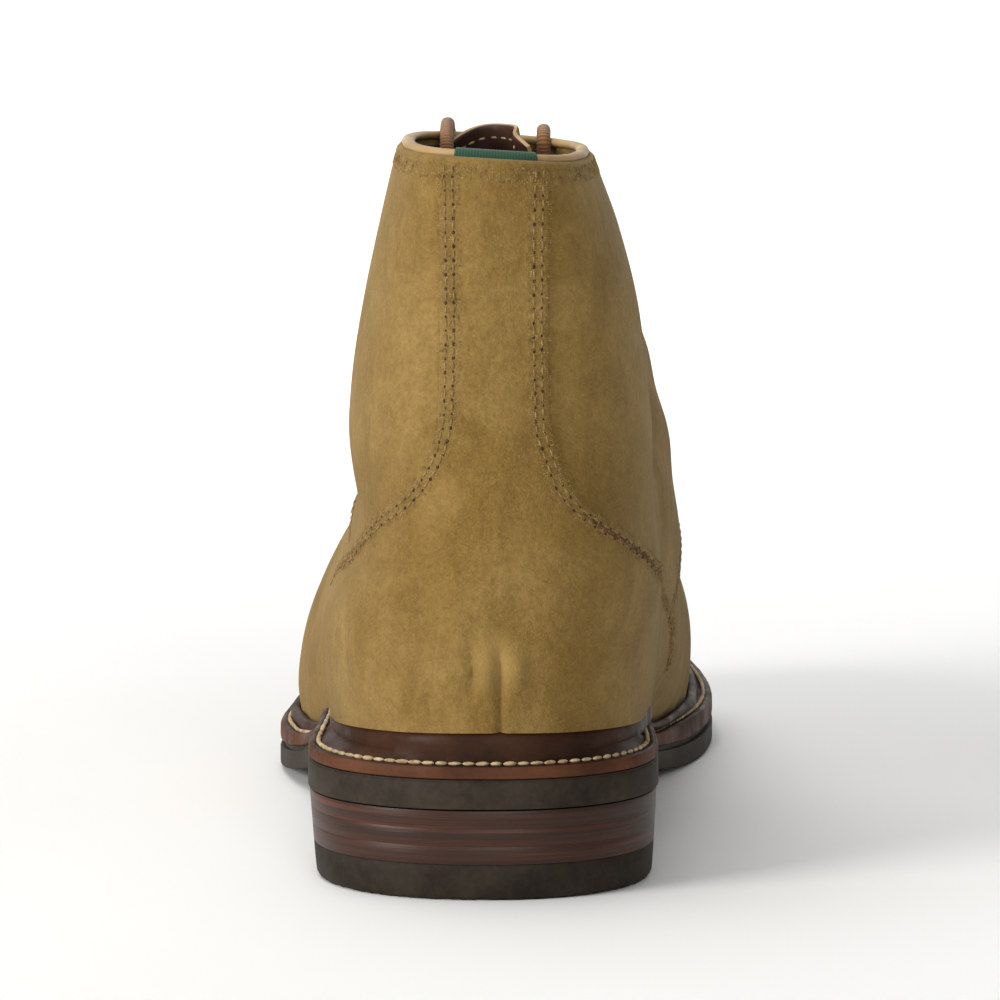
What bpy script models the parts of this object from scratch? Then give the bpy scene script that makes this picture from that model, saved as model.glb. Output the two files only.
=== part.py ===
"""Left moc toe boot in suede: derby upper with apron, storm welt, rubber sole and stacked heel.

Lengths are in millimetres until a mesh is made. y runs from the heel back to the toe tip, z up
from the floor, and x to the wearer's inside (medial is +x on a left boot, lateral is -x).
"""

import math

import bpy
import numpy as np

MM = 0.001
GAP = 0.35              # clearance between neighbouring pieces
SEAT = 0.75             # the same under an overlay, whose facets differ from the vamp's

# ---- driving sizes -------------------------------------------------------------------------
LENGTH = 305.0          # outsole, heel back to toe tip
HEEL_CENTRE = 38.0      # y where the round heel end begins
BALL_Y = 215.0          # y where the round toe end begins
TOE_PIVOT = 245.0       # the columns of the toe fan out from here
HEEL_ROUND, TOE_ROUND = 2.2, 2.6
BREAST_Y = 82.0         # front face of the heel
BREAST_HOLLOW = 4.0     # depth of its concave curve

TOP_PIECE = 7.8         # heel heights, floor upwards
STACK_TOP = 19.3
LIFTS = 3
WELT_EDGE = 0.2         # the welt stands this far inside the outsole edge
RAND_WALL = 2.0         # thickness of the storm rib over the welt
RAND_CLEAR = 1.5        # the counter starts this far over it

LATERAL, MEDIAL = -1, 1         # the boot's two sides, as the sign of x
WALL = 1.8              # vamp and lining together
QUARTER = 1.05          # leather of each overlay
COUNTER = 1.75
APRON = 1.15
APRON_RIM = 2.5
QUARTER_SEAT = 0.95     # it spans the hollow at the ankle, so it stands clearer than SEAT
APRON_SEAT = 1.0        # it bridges the sharpest curves
COLLAR_Z = 155.0        # top edge of the wall, under the binding
EDGE_DROP = 0.6         # overlays stop this far under it
COLLAR_MIDDLE = 1.6     # x of the collar's middle
COLLAR_TILT = 0.06      # fall of the collar edge towards the medial side
BINDING_HEIGHT = 2.7
THROAT_END = 184.0      # front end of the lace opening
THROAT_HALF = 5.5       # half of its width
STRIP_ANGLE = {LATERAL: 20.5, MEDIAL: 24.0}     # edges of the backstay strip, round the heel centre
EYELETS = 6

# Plan outline of the outsole: y, lateral and medial half widths.
OUTLINE = np.array((
    (0, 38.5, 37.7),
    (38, 38.5, 37.7),
    (78, 37.6, 36.6),
    (110, 38.8, 34.8),
    (140, 44.0, 37.6),
    (163, 49.8, 43.6),
    (183, 52.2, 49.6),
    (204, 51.2, 54.2),
    (224, 49.4, 56.2),
    (245, 47.8, 57.0),
    (275, 46.0, 57.6),
    (305, 44.5, 58.0),
), float)

# Bottom line of the outsole and the thickness of rubber and welt above it.
SOLE = np.array((
    # y, bottom z, rubber, welt
    (0, 19.6, 6.1, 3.1),
    (BREAST_Y, 19.6, 6.1, 3.1),
    (98, 17.4, 6.0, 3.1),
    (122, 11.0, 5.6, 3.1),
    (143, 5.6, 5.3, 3.2),
    (160, 2.6, 5.7, 3.8),
    (176, 0.9, 6.3, 4.7),
    (193, 0.0, 6.9, 5.0),
    (222, 0.0, 6.9, 5.0),
    (245, 1.1, 6.9, 5.0),
    (275, 4.7, 6.9, 5.0),
    (305, 9.8, 6.9, 5.0),
), float)

# Height of the storm rib over the welt, by column station: tallest behind the heel.
RAND = np.array((
    (0, 7.0),
    (35, 6.4),
    (70, 5.2),
    (90, 4.4),
    (90 + 45, 3.2),
    (90 + 90, 2.8),
    (90 + 300, 2.8),
), float)

# Foot part of the last, each side with its widest height over the welt line and its half width
# there; the ridge's height over the welt line and its x; and how square the lateral side is.
FOOT = np.array((
    # y, ridge, ridge x, lateral height, lateral, medial height, medial, lateral power
    (0, 50, 1.2, 20, 22, 20, 22, 2.1),
    (40, 56, 1.3, 20, 26, 20, 26, 2.1),
    (80, 84, 1.5, 18, 28.5, 24, 35.0, 2.0),
    (105, 122, 1.6, 16, 29.5, 27, 41.5, 1.9),
    (118, 125, 2.6, 14, 31.5, 27, 43.4, 1.8),
    (130, 111, 3.8, 12, 35.0, 26, 44.6, 1.75),
    (145, 99, 4.8, 11, 39.4, 23, 45.6, 1.7),
    (165, 86, 5.4, 10, 44.8, 19, 47.0, 1.7),
    (190, 73.5, 5.6, 9, 48.0, 16, 48.6, 1.75),
    (215, 63.0, 5.2, 11, 47.0, 14, 50.0, 1.9),
    (245, 54.5, 4.6, 13, 45.0, 14, 51.2, 2.1),
    (275, 49.0, 4.4, 14, 42.6, 14, 52.0, 2.15),
    (305, 44.0, 4.6, 14, 40.0, 14, 52.0, 2.15),
), float)
MEDIAL_POWER = 2.0
FEATHER_INSET = 5.7     # from the outsole edge in to the upper, at the welt line
TOE_TIP = 297.5         # the upper's own tip
TIP_ROUND = 2.8         # exponent of the toe end

# Shaft and heel part of the last, as level sections: y of back and front, half width, x of the
# middle, and the exponents that square the back and front halves of the section.
SHAFT = np.array((
    # z, back, front, half width, middle x, back power, front power
    (14, 9.5, 118, 29.0, 0.4, 2.4, 2.5),
    (30, 5.8, 124, 32.0, 0.5, 2.4, 2.5),
    (42, 4.4, 124, 34.0, 0.7, 2.4, 2.5),
    (54, 4.1, 118, 34.7, 1.0, 2.4, 2.5),
    (60, 4.3, 115, 33.8, 2.5, 2.4, 2.45),
    (68, 5.2, 112, 32.5, 4.2, 2.4, 2.4),
    (77, 6.5, 110, 31.5, 4.5, 2.4, 2.35),
    (86, 7.9, 108, 31.6, 3.9, 2.4, 2.3),
    (95, 9.2, 107, 31.9, 3.5, 2.4, 2.3),
    (104, 9.9, 107, 31.2, 3.4, 2.5, 2.3),
    (121, 10.7, 108, 29.0, 3.6, 2.7, 2.4),
    (139, 10.7, 109, 25.1, 2.9, 2.9, 2.6),
    (152, 10.4, 109, 21.2, 1.9, 3.2, 2.7),
    (170, 10.0, 109, 15.6, 1.1, 3.4, 2.7),
), float)
BLEND = 9.0             # width of the soft join between foot and shaft
FOOT_BACK = 70.0        # the foot part rounds off behind this y, inside the heel
FOOT_HEEL = 14.0        # and ends here

# Top edge of the counter in front of the backstay strip: column station, then its height on the
# lateral and the medial side. The station is the angle round the heel centre in degrees, then 90
# plus the distance from it.
COUNTER_EDGE = np.array((
    (STRIP_ANGLE[LATERAL], 100.0, 98.0),
    (22.5, 95.5, 98.0),
    (STRIP_ANGLE[MEDIAL], 93.2, 98.0),
    (30, 88.0, 87.0),
    (36, 85.0, 82.8),
    (52, 80.5, 77.0),
    (70, 75.5, 72.2),
    (90, 69.8, 67.4),
    (90 + 30, 62.5, 61.5),
    (90 + 52, 54.5, 54.0),
    (90 + 66, 46.5, 46.0),
    (90 + 77, 37.0, 37.0),
), float)

# Lower front edge of the quarters: heights behind QUARTER_TURN, and in front of it the length
# of surface between the edge and the throat.
QUARTER_TURN = 150.0
QUARTER_LOW = np.array((
    # y, z
    (92, 41.0),
    (104, 47.5),
    (116, 54.0),
    (128, 60.5),
    (140, 66.0),
    (QUARTER_TURN, 70.0),
), float)
QUARTER_FRONT = np.array((
    # y, length from the throat
    (QUARTER_TURN, 53.0),
    (160, 45.5),
    (168, 38.0),
    (176, 28.5),
    (180, 21.5),
    (THROAT_END, 10.0),
), float)

# Apron seam: y and the length of surface from the ridge out to the seam.
APRON_EDGE = np.array((
    (176, 37.0),
    (190, 35.5),
    (215, 35.0),
    (245, 33.5),
), float)
APRON_REACH = 27.0      # surface length from the toe pivot to the seam over the toes

APRON_BACK = 176.0      # y where the apron begins, at the quarters' front edge
APRON_MIDDLE = 190.5    # y where its rear edge crosses the ridge
APRON_CLEAR = 1.0       # distance between apron and quarter along the surface


# ---- curves --------------------------------------------------------------------------------
def smooth(xs, ys, at):
    """Monotone cubic through the points (xs, ys), flat beyond its ends."""
    xs, ys = np.asarray(xs, float), np.asarray(ys, float)
    step = np.diff(xs)
    slope = np.diff(ys) / step
    tangent = np.zeros_like(ys)
    left, right = slope[:-1], slope[1:]
    same = left * right > 0
    weight_a = 2 * step[1:] + step[:-1]
    weight_b = step[1:] + 2 * step[:-1]
    safe_left = np.where(same, left, 1.0)
    safe_right = np.where(same, right, 1.0)
    mean = (weight_a + weight_b) / (weight_a / safe_left + weight_b / safe_right)
    tangent[1:-1] = np.where(same, mean, 0.0)
    at = np.clip(np.asarray(at, float), xs[0], xs[-1])
    cell = np.clip(np.searchsorted(xs, at, side="right") - 1, 0, len(xs) - 2)
    width = step[cell]
    t = (at - xs[cell]) / width
    rise = 3 * t ** 2 - 2 * t ** 3
    curve_in = (t ** 3 - 2 * t ** 2 + t) * width * tangent[cell]
    curve_out = (t ** 3 - t ** 2) * width * tangent[cell + 1]
    return ys[cell] * (1 - rise) + ys[cell + 1] * rise + curve_in + curve_out


def eased(share):
    """Smooth step from 0 to 1."""
    share = float(np.clip(share, 0, 1))
    return share * share * (3 - 2 * share)


def column_of(table, index, at):
    return smooth(table[:, 0], table[:, index], at)


def sole_bottom(y):
    return column_of(SOLE, 1, y)


def rubber_top(y):
    return sole_bottom(y) + column_of(SOLE, 2, y)


def welt_top(y):
    return rubber_top(y) + column_of(SOLE, 3, y)


# ---- the last ------------------------------------------------------------------------------
def ridge_x(y):
    return column_of(FOOT, 2, y)


def collar_z(x):
    """Height of the collar edge, a little higher on the lateral side."""
    return COLLAR_Z - COLLAR_TILT * (x - COLLAR_MIDDLE)


def foot_field(x, y, z):
    middle = ridge_x(y)
    inner = x > middle
    line = welt_top(y)
    widest = line + np.where(inner, column_of(FOOT, 5, y), column_of(FOOT, 3, y))
    half = np.where(inner, column_of(FOOT, 6, y) - middle, column_of(FOOT, 4, y) + middle)
    power = np.where(inner, MEDIAL_POWER, column_of(FOOT, 7, y))
    sole = np.where(inner, column_of(OUTLINE, 2, y) - middle, column_of(OUTLINE, 1, y) + middle)
    feather = np.minimum(sole - FEATHER_INSET, half - 1.2)
    below = (widest - line) / (1 - (feather / half) ** power) ** (1 / power)
    above = line + column_of(FOOT, 1, y) - widest
    across = np.abs(x - middle) / half
    up = np.abs(z - widest) / np.where(z > widest, above, below)
    toe = np.clip((y - BALL_Y) / (TOE_TIP - BALL_Y), 0, None) ** TIP_ROUND
    heel = np.clip((FOOT_BACK - y) / (FOOT_BACK - FOOT_HEEL), 0, None) ** HEEL_ROUND
    total = across ** power + up ** power + toe + heel
    return (total ** (1 / power) - 1) * 36.0


def shaft_field(x, y, z):
    back = column_of(SHAFT, 1, z)
    front = column_of(SHAFT, 2, z)
    half = column_of(SHAFT, 3, z)
    centre = 0.5 * (back + front)
    power = np.where(y < centre, column_of(SHAFT, 5, z), column_of(SHAFT, 6, z))
    along = np.abs(y - centre) / (0.5 * (front - back))
    across = np.abs(x - column_of(SHAFT, 4, z)) / half
    return ((along ** power + across ** power) ** (1 / power) - 1) * half


def last_field(p):
    """Below zero inside the upper's outer surface, about the distance in mm near it."""
    x, y, z = p[..., 0], p[..., 1], p[..., 2]
    foot, shaft = foot_field(x, y, z), shaft_field(x, y, z)
    mix = np.clip(0.5 + 0.5 * (shaft - foot) / BLEND, 0, 1)
    return shaft * (1 - mix) + foot * mix - BLEND * mix * (1 - mix)


def normals(p, reach=0.4):
    grads = []
    for axis in range(3):
        step = np.zeros(3)
        step[axis] = reach
        grads.append(last_field(p + step) - last_field(p - step))
    grad = np.stack(grads, axis=-1)
    return grad / np.linalg.norm(grad, axis=-1, keepdims=True)


def cast(origin, direction, far=190.0, rounds=34):
    """Points where rays from inside the last leave it."""
    near = np.zeros(direction.shape[:-1])
    out = np.full(direction.shape[:-1], far)
    for _ in range(rounds):
        middle = 0.5 * (near + out)
        inside = last_field(origin + direction * middle[..., None]) < 0
        near = np.where(inside, middle, near)
        out = np.where(inside, out, middle)
    return origin + direction * (0.5 * (near + out))[..., None]


# ---- columns: vertical half planes round the boot ----------------------------------------------
def plane_of(station, side):
    """Pivot and outward direction of a column. A station below 90 is an angle round the heel
    centre, then 90 plus the distance along the foot, then degrees round the toe pivot."""
    straight = TOE_PIVOT - HEEL_CENTRE
    if station < 90:
        angle = math.radians(station)
        return (ridge_x(HEEL_CENTRE), HEEL_CENTRE), (side * math.sin(angle), -math.cos(angle))
    if station <= 90 + straight:
        y = HEEL_CENTRE + station - 90
        return (ridge_x(y), y), (side, 0.0)
    angle = math.radians(station - 90 - straight)
    return (ridge_x(TOE_PIVOT), TOE_PIVOT), (side * math.cos(angle), math.sin(angle))


def station_at(y):
    return 90 + y - HEEL_CENTRE



class Column:
    """The last's outline in one vertical plane, from the welt line up, as a dense polyline."""

    def __init__(self, station, side, count=90):
        self.station, self.side = station, side
        pivot, way = plane_of(station, side)
        self.pivot = np.array(pivot)
        self.way = np.array(way)
        lift = float(smooth((0, 60, 110, 160, 215, 305), (86, 86, 70, 42, 34, 30), pivot[1]))
        origin = np.array((pivot[0], pivot[1], lift))
        tilt = np.radians(np.linspace(-64, 90, count))
        rays = np.stack((way[0] * np.cos(tilt), way[1] * np.cos(tilt), np.sin(tilt)), axis=-1)
        points = cast(origin, rays)
        floor = welt_top(points[:, 1]) + GAP
        first = int(np.argmax(points[:, 2] > floor))
        if first > 0:
            low, high = points[first - 1], points[first]
            low_gap = low[2] - floor[first - 1]
            high_gap = high[2] - floor[first]
            share = -low_gap / (high_gap - low_gap)
            points = np.vstack((low + (high - low) * share, points[first:]))
        self.points = points
        self.length = np.concatenate(((0,), np.cumsum(np.linalg.norm(np.diff(points, axis=0), axis=1))))
        self.top = self.find_top()

    def find_top(self):
        """Surface length at the collar or the throat edge, or at the ridge where both close."""
        ends = [self.length[-1]]
        over = self.points[:, 2] - collar_z(self.points[:, 0])
        high = np.nonzero(over > 0)[0]
        if len(high):
            i = high[0]
            share = -over[i - 1] / (over[i] - over[i - 1])
            ends.append(self.length[i - 1] + share * (self.length[i] - self.length[i - 1]))
        y = self.pivot[1]
        if self.way[1] == 0 and 90 < y <= THROAT_END:
            off = np.abs(self.points[:, 0] - ridge_x(y))
            near = np.nonzero((off < THROAT_HALF) & (self.points[:, 2] > 60))[0]
            if len(near):
                i = near[0]
                share = (off[i - 1] - THROAT_HALF) / (off[i - 1] - off[i])
                ends.append(self.length[i - 1] + share * (self.length[i] - self.length[i - 1]))
        return min(ends)

    def at(self, length):
        length = np.clip(length, 0, self.length[-1])
        return np.stack([np.interp(length, self.length, self.points[:, k]) for k in range(3)], axis=-1)

    def length_at_z(self, z):
        stop = int(np.argmax(self.points[:, 2]))
        return float(np.interp(z, self.points[:stop + 1, 2], self.length[:stop + 1]))


COLUMNS = {}


def column_at(station, side):
    """The column at a station, worked out once."""
    key = (round(float(station), 4), side)
    if key not in COLUMNS:
        COLUMNS[key] = Column(float(station), side)
    return COLUMNS[key]


def corner_y(side):
    """y of the collar's front corner, where its edge turns down the throat."""
    low, high = 90.0, 125.0
    for _ in range(30):
        middle = 0.5 * (low + high)
        x = ridge_x(middle) + side * THROAT_HALF
        if last_field(np.array((x, middle, collar_z(x)))) < 0:
            low = middle
        else:
            high = middle
    return low


CORNER = corner_y(LATERAL)
HEEL_STATIONS = (0, 10, STRIP_ANGLE[LATERAL], STRIP_ANGLE[MEDIAL], 30, 42, 58, 74)
SIDE_YS = (38, 52, 66, 80, 91, 100, CORNER - 3, CORNER, 116, 125, 135, 147, 158, 168, APRON_BACK, 180,
           THROAT_END, THROAT_END + 0.8, 187, APRON_MIDDLE, 201, 215, 230)
TOE_ANGLES = (0, 15, 30, 45, 58, 70, 80, 90)
STATIONS = tuple(HEEL_STATIONS) + tuple(station_at(y) for y in SIDE_YS) + tuple(
    station_at(TOE_PIVOT) + angle for angle in TOE_ANGLES)


# ---- mesh helpers ----------------------------------------------------------------------------
def material(name, colour, roughness, metallic=0.0):
    made = bpy.data.materials.get(name) or bpy.data.materials.new(name)
    made.use_nodes = True
    shader = made.node_tree.nodes["Principled BSDF"]
    shader.inputs["Base Color"].default_value = (*colour, 1.0)
    shader.inputs["Roughness"].default_value = roughness
    shader.inputs["Metallic"].default_value = metallic
    return made


def enclosed(points, faces):
    """Signed volume inside the faces: negative where they face inwards."""
    total = 0.0
    for loop in faces:
        for b, c in zip(loop[1:-1], loop[2:]):
            total += float(np.dot(points[loop[0]], np.cross(points[b], points[c])))
    return total / 6


def make_object(name, points, faces, finish, sharp=35.0):
    """A mesh object from points in mm, with equal points joined."""
    points = np.asarray(points, float)
    keys = {}
    index = []
    kept = []
    for point in points:
        key = tuple(np.round(point, 4))
        if key not in keys:
            keys[key] = len(kept)
            kept.append(point * MM)
        index.append(keys[key])
    clean = []
    for face in faces:
        loop = [index[i] for i in face]
        loop = [v for k, v in enumerate(loop) if v != loop[k - 1]]
        if len(loop) >= 3 and len(set(loop)) == len(loop):
            clean.append(loop)
    if enclosed(np.array(kept), clean) < 0:
        clean = [loop[::-1] for loop in clean]
    mesh = bpy.data.meshes.new(name)
    mesh.from_pydata([tuple(p) for p in kept], [], clean)
    mesh.validate()
    mesh.materials.append(finish)
    mesh.shade_smooth()
    mesh.set_sharp_from_angle(angle=math.radians(sharp))
    made = bpy.data.objects.new(name, mesh)
    bpy.context.scene.collection.objects.link(made)
    return made


def shell(name, outer, inner, faces, finish):
    """A closed solid between two copies of one sheet, joined round every open edge."""
    count = len(outer)
    keys = {}
    index = []
    for i, point in enumerate(outer):
        index.append(keys.setdefault(tuple(np.round(point, 4)), i))
    sheet = []
    for face in faces:
        loop = [index[i] for i in face]
        loop = [v for k, v in enumerate(loop) if v != loop[k - 1]]
        if len(loop) >= 3:
            sheet.append(loop)
    edges = {}
    for loop in sheet:
        for a, b in zip(loop, loop[1:] + loop[:1]):
            edges[(a, b)] = edges.get((a, b), 0) + 1
    solid = list(sheet)
    solid += [[v + count for v in reversed(loop)] for loop in sheet]
    for a, b in edges:
        if (b, a) not in edges:
            solid.append([b, a, a + count, b + count])
    return make_object(name, np.vstack((outer, inner)), solid, finish)


def grid_faces(rows, columns, start=0, flip=False):
    faces = []
    for i in range(columns - 1):
        for j in range(rows - 1):
            a = start + i * rows + j
            face = [a, a + rows, a + rows + 1, a + 1]
            faces.append(face[::-1] if flip else face)
    return faces


def loop_solid(name, rings, finish, caps=False):
    """A solid swept round the boot: rings[k] is the k-th corner of the section in every column.
    With caps the section isn't closed, and its first and last rings are closed by ladders."""
    rings = [np.asarray(ring) for ring in rings]
    turns = len(rings[0])
    points = np.vstack(rings)
    faces = []
    last = len(rings) - 1 if caps else len(rings)
    for k in range(last):
        upper = (k + 1) % len(rings)
        for i in range(turns):
            j = (i + 1) % turns
            faces.append([k * turns + i, k * turns + j, upper * turns + j, upper * turns + i])
    if caps:
        top = (len(rings) - 1) * turns
        for i in range(turns // 2):
            j = turns - 1 - i
            a, b = i, (i + 1) % turns
            c, d = j, (j + 1) % turns
            faces.append([b, a, d % turns, c])
            faces.append([top + a, top + b, top + c, top + d % turns])
    return make_object(name, points, faces, finish)


# ---- outlines in the columns ---------------------------------------------------------------------
def outline_gauge(x, y):
    half = np.where(x > 0, column_of(OUTLINE, 2, y), column_of(OUTLINE, 1, y))
    heel = np.clip((HEEL_CENTRE - y) / HEEL_CENTRE, 0, None)
    toe = np.clip((y - BALL_Y) / (LENGTH - BALL_Y), 0, None)
    power = np.where(y < 120, HEEL_ROUND, TOE_ROUND)
    return (np.abs(x) / half) ** power + heel ** HEEL_ROUND + toe ** TOE_ROUND


def outline_reach(column):
    """Distance from the column's pivot to the outsole's edge."""
    low, high = 5.0, 80.0
    for _ in range(40):
        middle = 0.5 * (low + high)
        x, y = column.pivot + column.way * middle
        if outline_gauge(x, y) < 1:
            low = middle
        else:
            high = middle
    return low


def ring_columns():
    """Columns all the way round: heel back, lateral side, toe, medial side."""
    lateral = [column_at(s, LATERAL) for s in STATIONS]
    medial = [column_at(s, MEDIAL) for s in STATIONS]
    return lateral, medial


def in_plane(column, reach, level, rise=0.0):
    """Point of a column's plane at a reach from its pivot, a rise over a level of the sole."""
    x, y = column.pivot + column.way * reach
    return np.array((x, y, float(level(y)) + rise))


# ---- the brow: sections square to the ridge over the instep ------------------------------------
BROW_CENTRE = (94.0, 80.0)
BROW_DEPTH = 26.0


def ridge_line(count=160):
    """The ridge over throat and instep from above the collar down to the vamp, as y and z."""
    angles = np.radians(np.linspace(86, -6, count))
    near, far = np.zeros(count), np.full(count, 190.0)
    for _ in range(36):
        middle = 0.5 * (near + far)
        y = BROW_CENTRE[0] + middle * np.cos(angles)
        z = BROW_CENTRE[1] + middle * np.sin(angles)
        inside = last_field(np.stack((ridge_x(y), y, z), axis=-1)) < 0
        near = np.where(inside, middle, near)
        far = np.where(inside, far, middle)
    return np.stack((BROW_CENTRE[0] + near * np.cos(angles),
                     BROW_CENTRE[1] + near * np.sin(angles)), axis=-1)


class Brow:
    """Points of the last over the instep, by length down the ridge from the collar edge and by
    surface length across it, lateral negative."""

    def __init__(self):
        line = ridge_line()
        length = np.concatenate(((0,), np.cumsum(np.linalg.norm(np.diff(line, axis=0), axis=1))))
        at_collar = np.interp(-COLLAR_Z, -line[:, 1], length)
        self.line, self.length = line, length - at_collar
        self.end = float(np.interp(THROAT_END, line[:, 0], self.length))
        self.sections = {}

    def ridge(self, down):
        y = np.interp(down, self.length, self.line[:, 0])
        z = np.interp(down, self.length, self.line[:, 1])
        return np.array((float(ridge_x(y)), y, z))

    def section(self, down, reach=70, count=57):
        key = round(float(down), 4)
        if key not in self.sections:
            self.sections[key] = self.cut(down, reach, count)
        return self.sections[key]

    def cut(self, down, reach, count):
        here = self.ridge(down)
        ahead = self.ridge(down + 2.0) - self.ridge(down - 2.0)
        ahead /= np.linalg.norm(ahead)
        out = np.array((0.0, -ahead[2], ahead[1]))
        out /= np.linalg.norm(out)
        origin = here - out * BROW_DEPTH
        angles = np.radians(np.linspace(-reach, reach, count))
        rays = out[None, :] * np.cos(angles)[:, None]
        rays[:, 0] += np.sin(angles)
        points = cast(origin, rays, far=90.0)
        length = np.concatenate(((0,), np.cumsum(np.linalg.norm(np.diff(points, axis=0), axis=1))))
        return points, length - length[count // 2]

    def at(self, down, across, lift=0.0):
        points, length = self.section(down)
        p = np.array([np.interp(across, length, points[:, k]) for k in range(3)])
        return p + normals(p) * lift, normals(p)


BROW = Brow()


# ---- finishes ----------------------------------------------------------------------------------
def finishes():
    return {
        "suede": material("sand_suede", (0.40, 0.27, 0.12), 0.95),
        "binding": material("tan_binding_leather", (0.52, 0.36, 0.19), 0.5),
        "lining": material("brown_lining_leather", (0.16, 0.06, 0.03), 0.6),
        "welt": material("dark_brown_welt_leather", (0.11, 0.035, 0.016), 0.35),
        "stack": material("stacked_heel_leather", (0.10, 0.04, 0.022), 0.3),
        "rubber": material("grey_brown_rubber", (0.048, 0.037, 0.029), 0.55),
        "tape": material("green_ribbed_tape", (0.02, 0.09, 0.06), 0.8),
        "lace": material("tan_cord", (0.36, 0.17, 0.06), 0.8),
        "eyelet": material("aged_brass", (0.35, 0.22, 0.10), 0.35, 1.0),
    }


# ---- upper ---------------------------------------------------------------------------------------
UPPER_ROWS = 11


def level_offset(points, ways, amount):
    """Points moved level by amount against the given normals."""
    flat = ways.copy()
    flat[:, 2] = 0
    flat /= np.linalg.norm(flat, axis=1, keepdims=True)
    return points - flat * amount


def build_upper(ring, finish):
    """The hollow last: vamp, quarters' lining and heel in one wall, open below and on top."""
    outer, inner = [], []
    for column in ring:
        points = column.at(np.linspace(0, column.top, UPPER_ROWS))
        ways = normals(points)
        wall = points - ways * WALL
        level = level_offset(points, ways, WALL)
        wall[0] = level[0]
        if abs(points[-1, 2] - collar_z(points[-1, 0])) < 0.05:
            wall[-1] = level[-1]
        outer.append(points)
        inner.append(wall)
    turns = len(ring)
    faces = []
    for i in range(turns):
        for j in range(UPPER_ROWS - 1):
            a = i * UPPER_ROWS + j
            b = ((i + 1) % turns) * UPPER_ROWS + j
            faces.append([a, a + 1, b + 1, b])
    return shell("upper", np.vstack(outer), np.vstack(inner), faces, finish)


def lay(points, lift):
    return points + normals(points) * np.asarray(lift)[..., None]


def rand_height(column):
    return float(column_of(RAND, 1, column.station))


def rand_top(column):
    """Surface length from the welt line to clear of the storm rib."""
    start = column.points[0]
    return column.length_at_z(start[2] + rand_height(column) + RAND_CLEAR)


def counter_top(column):
    height = column_of(COUNTER_EDGE, 1 if column.side == LATERAL else 2, column.station)
    return column.length_at_z(float(height))


def build_counter(finish):
    """Heel counter and backstay strip in one overlay, from the welt to the collar."""
    stations = [s for s in STATIONS if s < COUNTER_EDGE[-1, 0]] + [COUNTER_EDGE[-1, 0]]
    order = [(s, LATERAL) for s in reversed(stations)] + [(s, MEDIAL) for s in stations[1:]]
    low_rows, strip_rows = 6, 6
    points, index = [], {}
    for i, (station, side) in enumerate(order):
        column = column_at(station, side)
        low, high = rand_top(column), counter_top(column)
        lengths = list(np.linspace(low, high, low_rows))
        if station <= STRIP_ANGLE[side]:
            lengths += list(np.linspace(high, column.top - EDGE_DROP, strip_rows))[1:]
        for j, point in enumerate(column.at(np.array(lengths))):
            index[(i, j)] = len(points)
            points.append(point)
    points = np.array(points)
    faces = []
    for i in range(len(order) - 1):
        for j in range(low_rows + strip_rows):
            corners = [(i, j), (i + 1, j), (i + 1, j + 1), (i, j + 1)]
            if all(c in index for c in corners):
                faces.append([index[c] for c in corners])
    bend = np.full(len(points), SEAT + COUNTER)
    return shell("heel_counter", lay(points, bend), lay(points, np.full(len(points), SEAT)),
                 faces, finish)


def quarter_span(column):
    """Surface lengths of the quarter's lower and upper edge in one column."""
    low = 0.0
    if column.station < COUNTER_EDGE[-1, 0]:
        low = counter_top(column) + GAP
    y = column.pivot[1]
    if QUARTER_LOW[0, 0] < y <= QUARTER_TURN:
        low = max(low, column.length_at_z(float(column_of(QUARTER_LOW, 1, y))))
    elif y > QUARTER_TURN:
        low = column.top - float(column_of(QUARTER_FRONT, 1, y))
    return low, column.top - EDGE_DROP


def build_quarter(name, side, finish):
    """One side of the shaft, from the backstay strip to the throat, laid over the vamp."""
    first = STRIP_ANGLE[side] + 0.8
    stations = [first] + [s for s in STATIONS if first < s <= station_at(THROAT_END)]
    rows = 7
    points = []
    for station in stations:
        column = column_at(station, side)
        low, high = quarter_span(column)
        points.append(column.at(low + (high - low) * np.linspace(0, 1, rows) ** 0.93))
    points = np.vstack(points)
    faces = grid_faces(rows, len(stations), flip=side == LATERAL)
    return shell(name, lay(points, np.full(len(points), QUARTER_SEAT + QUARTER)),
                 lay(points, np.full(len(points), QUARTER_SEAT)), faces, finish)


def apron_start(column):
    """Surface length at the apron seam."""
    if column.way[1] == 0:
        return column.length[-1] - float(column_of(APRON_EDGE, 1, column.pivot[1]))
    side_reach = APRON_EDGE[-1, 1]
    forward = column.way[1] ** 2
    return column.length[-1] - (side_reach * (1 - forward) + APRON_REACH * forward)


def apron_stop(column):
    """Surface length at the apron's rear edge, where the column has one."""
    y = column.pivot[1]
    if y > APRON_MIDDLE:
        return column.length[-1]
    if y <= THROAT_END:
        return quarter_span(column)[0] - APRON_CLEAR
    corner = column_at(station_at(THROAT_END), column.side)
    width = corner.length[-1] - quarter_span(corner)[0] + APRON_CLEAR
    share = (y - THROAT_END) / (APRON_MIDDLE - THROAT_END)
    return column.length[-1] - width * (1 - share)


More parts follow.
